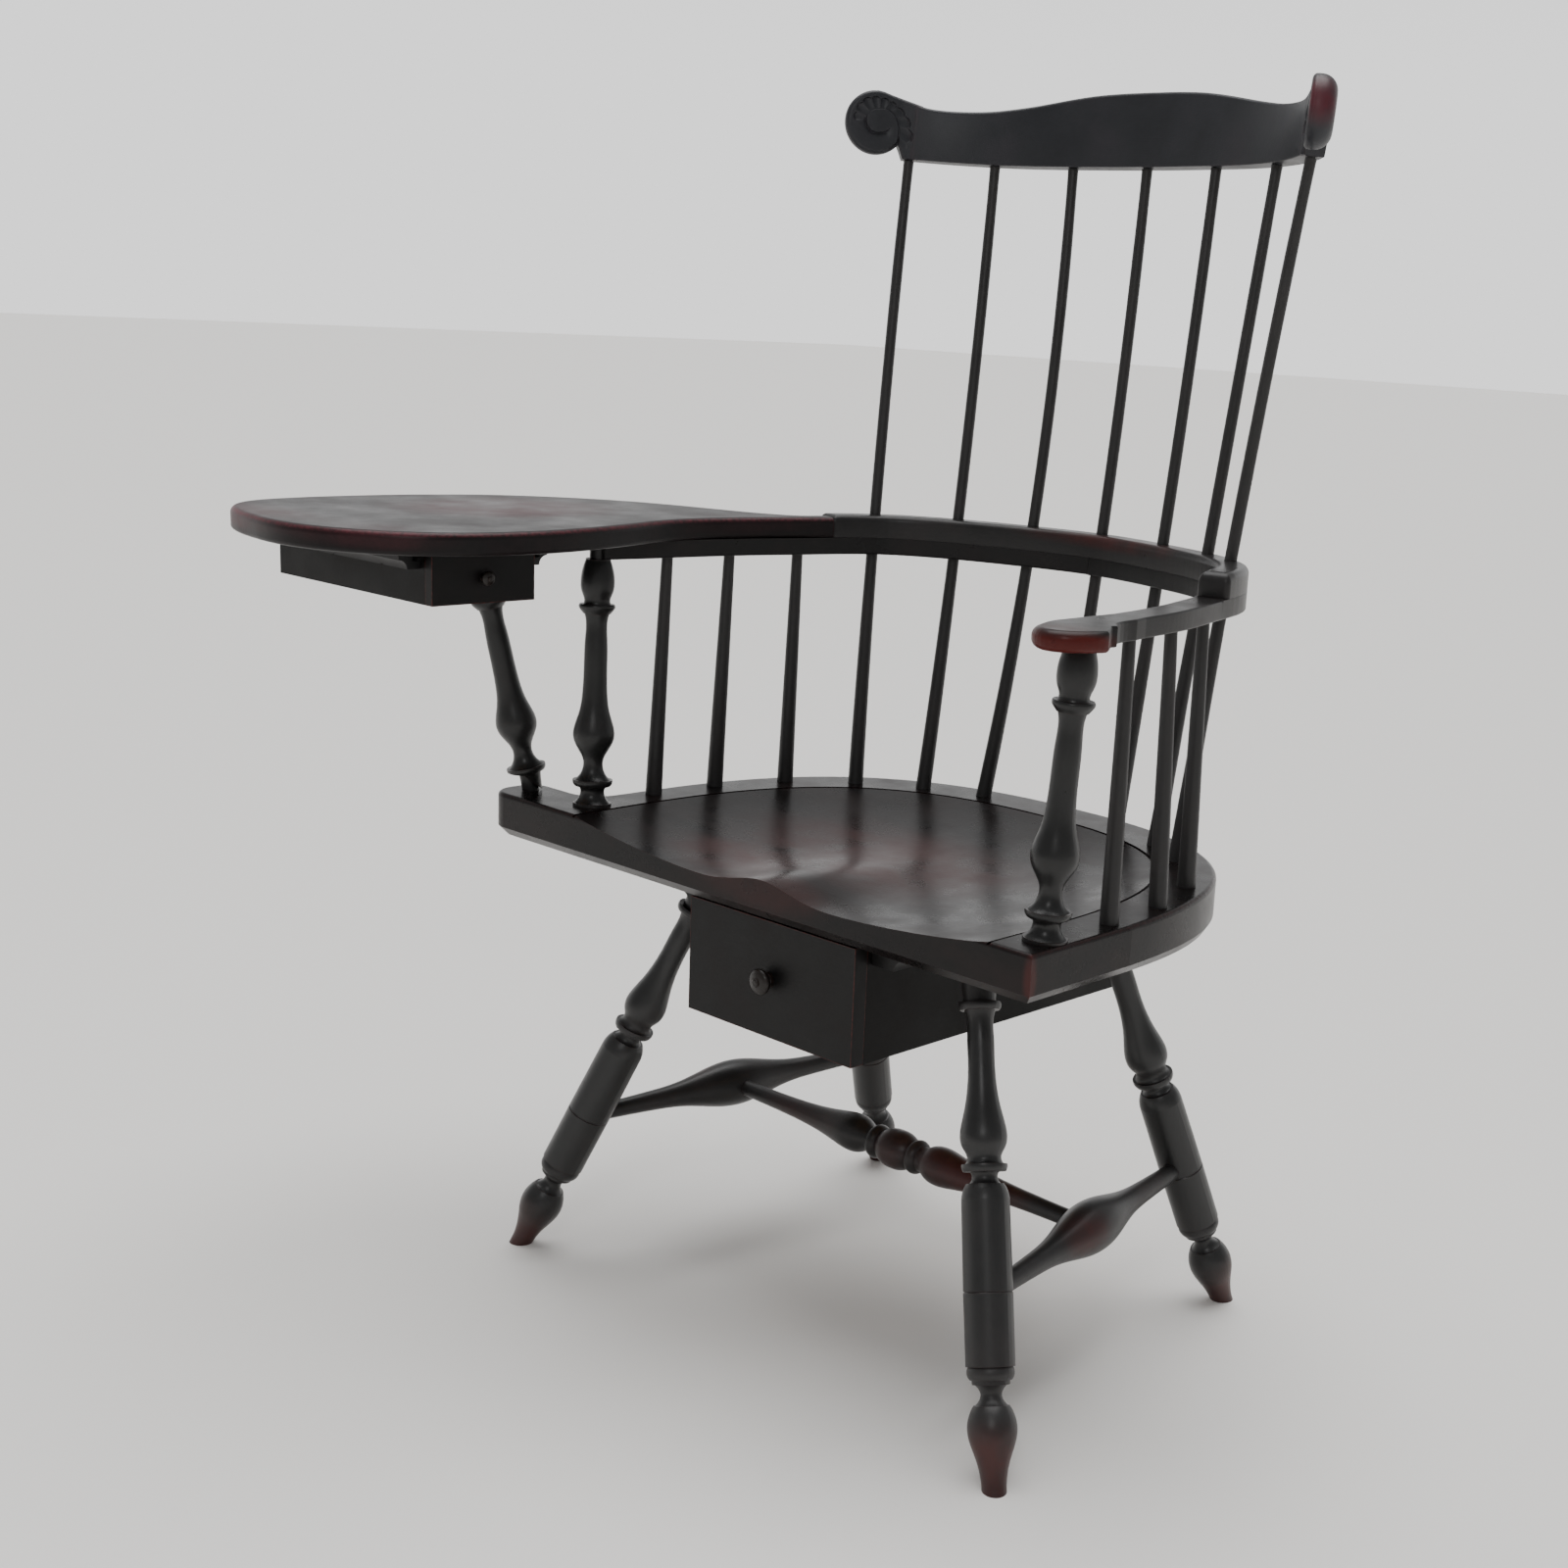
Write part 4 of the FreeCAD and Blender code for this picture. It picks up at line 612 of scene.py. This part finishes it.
# Sections stand 6 mm apart along the rail, and 0.9 mm apart at its ends under the ears.
points = []
faces = []
stations = [6.0 * number for number in range(41)] + [240 + 0.9 * number for number in range(7, 41)]
stations = [-reach for reach in stations[:0:-1]] + stations
for reach in stations:
    points += [comb_spot(reach, rise, ahead) for ahead, rise in rail_section(reach)]
size = 4 * (ROUND_STEPS + 1)
for first in range(0, (len(stations) - 1) * size, size):
    faces += [(first + a, first + (a + 1) % size, first + size + (a + 1) % size, first + size + a)
              for a in range(size)]

# The face is a fan of rays from a spot that all of its outline can be seen from.
FACE_MIDDLE = (18.0, 2.0)
FACE_RAYS = 360
FACE_RINGS = 84
FACE_EDGE = 44.0          # how far across the face reaches into the rail
RAY_START, RAY_STEP = 8.0, 0.1
FACE_SKIRT = 4.0          # the height down to which the face's rim is drawn
EAR_STEPS = 120
EAR_BACK_ROUND = 14.0
for side in (-1, 1):
    origin = comb_spot(side * EAR_REACH, EAR_MIDDLE[1], 0.0)
    along = (comb_spot(side * (EAR_REACH - 0.01), EAR_MIDDLE[1], 0.0) - origin).normalized()
    upward = (comb_spot(side * EAR_REACH, EAR_MIDDLE[1] + 1, 0.0) - origin).normalized()
    face = (comb_spot(side * EAR_REACH, EAR_MIDDLE[1], 1.0) - origin).normalized()

    def ear_spot(across, up, ahead):
        return origin + (along * (across + EAR_MIDDLE[0]) + upward * up + face * ahead) / 1000

    base = len(points)
    for number in range(FACE_RAYS):
        angle = math.tau * number / FACE_RAYS
        run, climb = math.cos(angle), math.sin(angle)
        far = RAY_START
        while (FACE_MIDDLE[0] + far * run < FACE_EDGE
               and ear_height(FACE_MIDDLE[0] + far * run, FACE_MIDDLE[1] + far * climb) is not None):
            far += RAY_STEP
        far -= RAY_STEP
        for ring in range(FACE_RINGS):
            reach = far * math.sin(math.pi / 2 * (ring + 0.3) / (FACE_RINGS - 0.7))
            across, up = FACE_MIDDLE[0] + reach * run, FACE_MIDDLE[1] + reach * climb
            points.append(ear_spot(across, up, ear_height(across, up)))
        points.append(ear_spot(across, up, FACE_SKIRT))
    count = FACE_RINGS + 1
    ears = [(base + number * count + ring, base + number * count + ring + 1,
             base + (number + 1) % FACE_RAYS * count + ring + 1, base + (number + 1) % FACE_RAYS * count + ring)
            for number in range(FACE_RAYS) for ring in range(count - 1)]
    ears.append(tuple(base + number * count for number in range(FACE_RAYS)))
    # The rest of the ear is a disc with a rounded back.
    profile = [(EAR_RADIUS - 2.8, 8.0), (EAR_RADIUS - 0.6, 7.6), (EAR_RADIUS, 6.4), (EAR_RADIUS, 3.0)]
    profile += [(EAR_RADIUS - EAR_BACK_ROUND * (1 - math.cos(math.radians(swing))),
                 3.0 - EAR_BACK_ROUND * math.sin(math.radians(swing))) for swing in range(10, 91, 10)]
    base = len(points)
    for reach, ahead in profile:
        points += [ear_spot(reach * math.cos(math.tau * step / EAR_STEPS),
                            reach * math.sin(math.tau * step / EAR_STEPS), ahead) for step in range(EAR_STEPS)]
    for ring in range(len(profile) - 1):
        start = base + ring * EAR_STEPS
        ears += [(start + EAR_STEPS + step, start + EAR_STEPS + (step + 1) % EAR_STEPS,
                  start + (step + 1) % EAR_STEPS, start + step) for step in range(EAR_STEPS)]
    ears.append(tuple(base + (len(profile) - 1) * EAR_STEPS + step for step in range(EAR_STEPS))[::-1])
    faces += ears if side < 0 else [corners[::-1] for corners in ears]
comb = new_piece("carved_comb_rail", points, faces, comb_paint)
comb.data.set_sharp_from_angle(angle=math.radians(50))
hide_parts("comb_rail")
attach(comb, "chair_frame")


# Tablet: a broad pine board with rounded edges, lying on the right arm and on the
# outer post, its tail housed against the crest.
# Satin brown-grey, worn by sleeves, mirroring the pale wall at a low angle.
tablet_paint = rubbed_paint(
    "waxed_black_paint_on_tablet", top="131112", edge=0.3, patches=0.06, rough=0.37, shine=0.21, rim=0.75,
    under="54222a", along=(1, 0, 0), haze="241c1a", haze_amount=0.3,
    zones=(((-0.40, 0.03, 0.707), (0.12, 0.14, 0.02), 0.4), ((-0.44, -0.20, 0.700), (0.14, 0.06, 0.012), 0.45),
           ((-0.28, -0.19, 0.700), (0.12, 0.07, 0.012), 0.25), ((-0.25, 0.20, 0.700), (0.06, 0.10, 0.012), 0.1)))
paint_nodes(tablet_paint, "writing_tablet")


# Drawers: one under the seat and one under the tablet, made alike of pine: a plain
# front with a small turned knob, grooved sides, back and bottom.
# Flat black outside with red on the front's arrises; the inside is bare, browned pine.
front_paint = rubbed_paint("black_paint_on_drawer_front", top="100f0f", edge=0.8, patches=0.03, rough=0.46,
                           shine=0.25, under="5e2a24", along=(1, 0, 0), arris=0.0018)
side_paint = rubbed_paint("black_paint_on_drawer_sides", top="0c0b0a", edge=0.0, patches=0.02, rough=0.5,
                          shine=0.2, along=(0, 1, 0))
knob_paint = rubbed_paint("black_paint_on_knobs", top="1a1512", edge=0.1, patches=0.0, rough=0.32)
bare_pine, tree = new_material("bare_aged_pine")
place = add_node(tree, "TexCoord").outputs["Object"]
long_place = add_node(tree, "VectorMath", {0: place, 1: (120.0, 6.0, 120.0)}, operation="MULTIPLY")
rings = add_node(tree, "TexNoise", {"Vector": long_place.outputs[0], "Scale": 1.0, "Detail": 5.0})
tones = add_node(tree, "Mix", {0: rings.outputs[0], 6: linear("6b4a2c"), 7: linear("a37c4e")}, data_type="RGBA")
relief = add_node(tree, "Bump", {"Height": rings.outputs[0], "Distance": 0.0003, "Strength": 0.3})
shader = add_node(tree, "BsdfPrincipled", {"Base Color": tones.outputs[2], "Roughness": 0.7,
                                           "Normal": relief.outputs[0]})
add_node(tree, "OutputMaterial", {"Surface": shader.outputs[0]})
for drawer, sides in (("seat_drawer_", ("left", "right")), ("tablet_drawer_", ("front", "rear"))):
    paint_nodes(front_paint, drawer + "front")
    paint_nodes(knob_paint, drawer + "knob")
    paint_nodes(side_paint, *[drawer + "side_" + side for side in sides])
    paint_nodes(side_paint, *[drawer + "strip_" + side for side in sides])
    paint_nodes(bare_pine, drawer + "back", drawer + "bottom")


# Runners: rabbeted strips screwed up under the seat and the tablet, on which the
# strips of the drawers slide, painted with the chair.
# Dull black, and dark steel in the screw heads.
runner_paint = rubbed_paint("dull_black_paint_on_runners", top="151414", edge=0.0, patches=0.02, rough=0.5)
paint_nodes(runner_paint, "seat_cleat_left", "seat_cleat_right", "tablet_cleat_front", "tablet_cleat_rear")
dark_steel, tree = new_material("dark_oiled_steel")
shader = add_node(tree, "BsdfPrincipled", {"Base Color": linear("4a4744"), "Metallic": 1.0, "Roughness": 0.5})
add_node(tree, "OutputMaterial", {"Surface": shader.outputs[0]})
paint_nodes(dark_steel, "seat_cleat_screws", "tablet_cleat_screws")
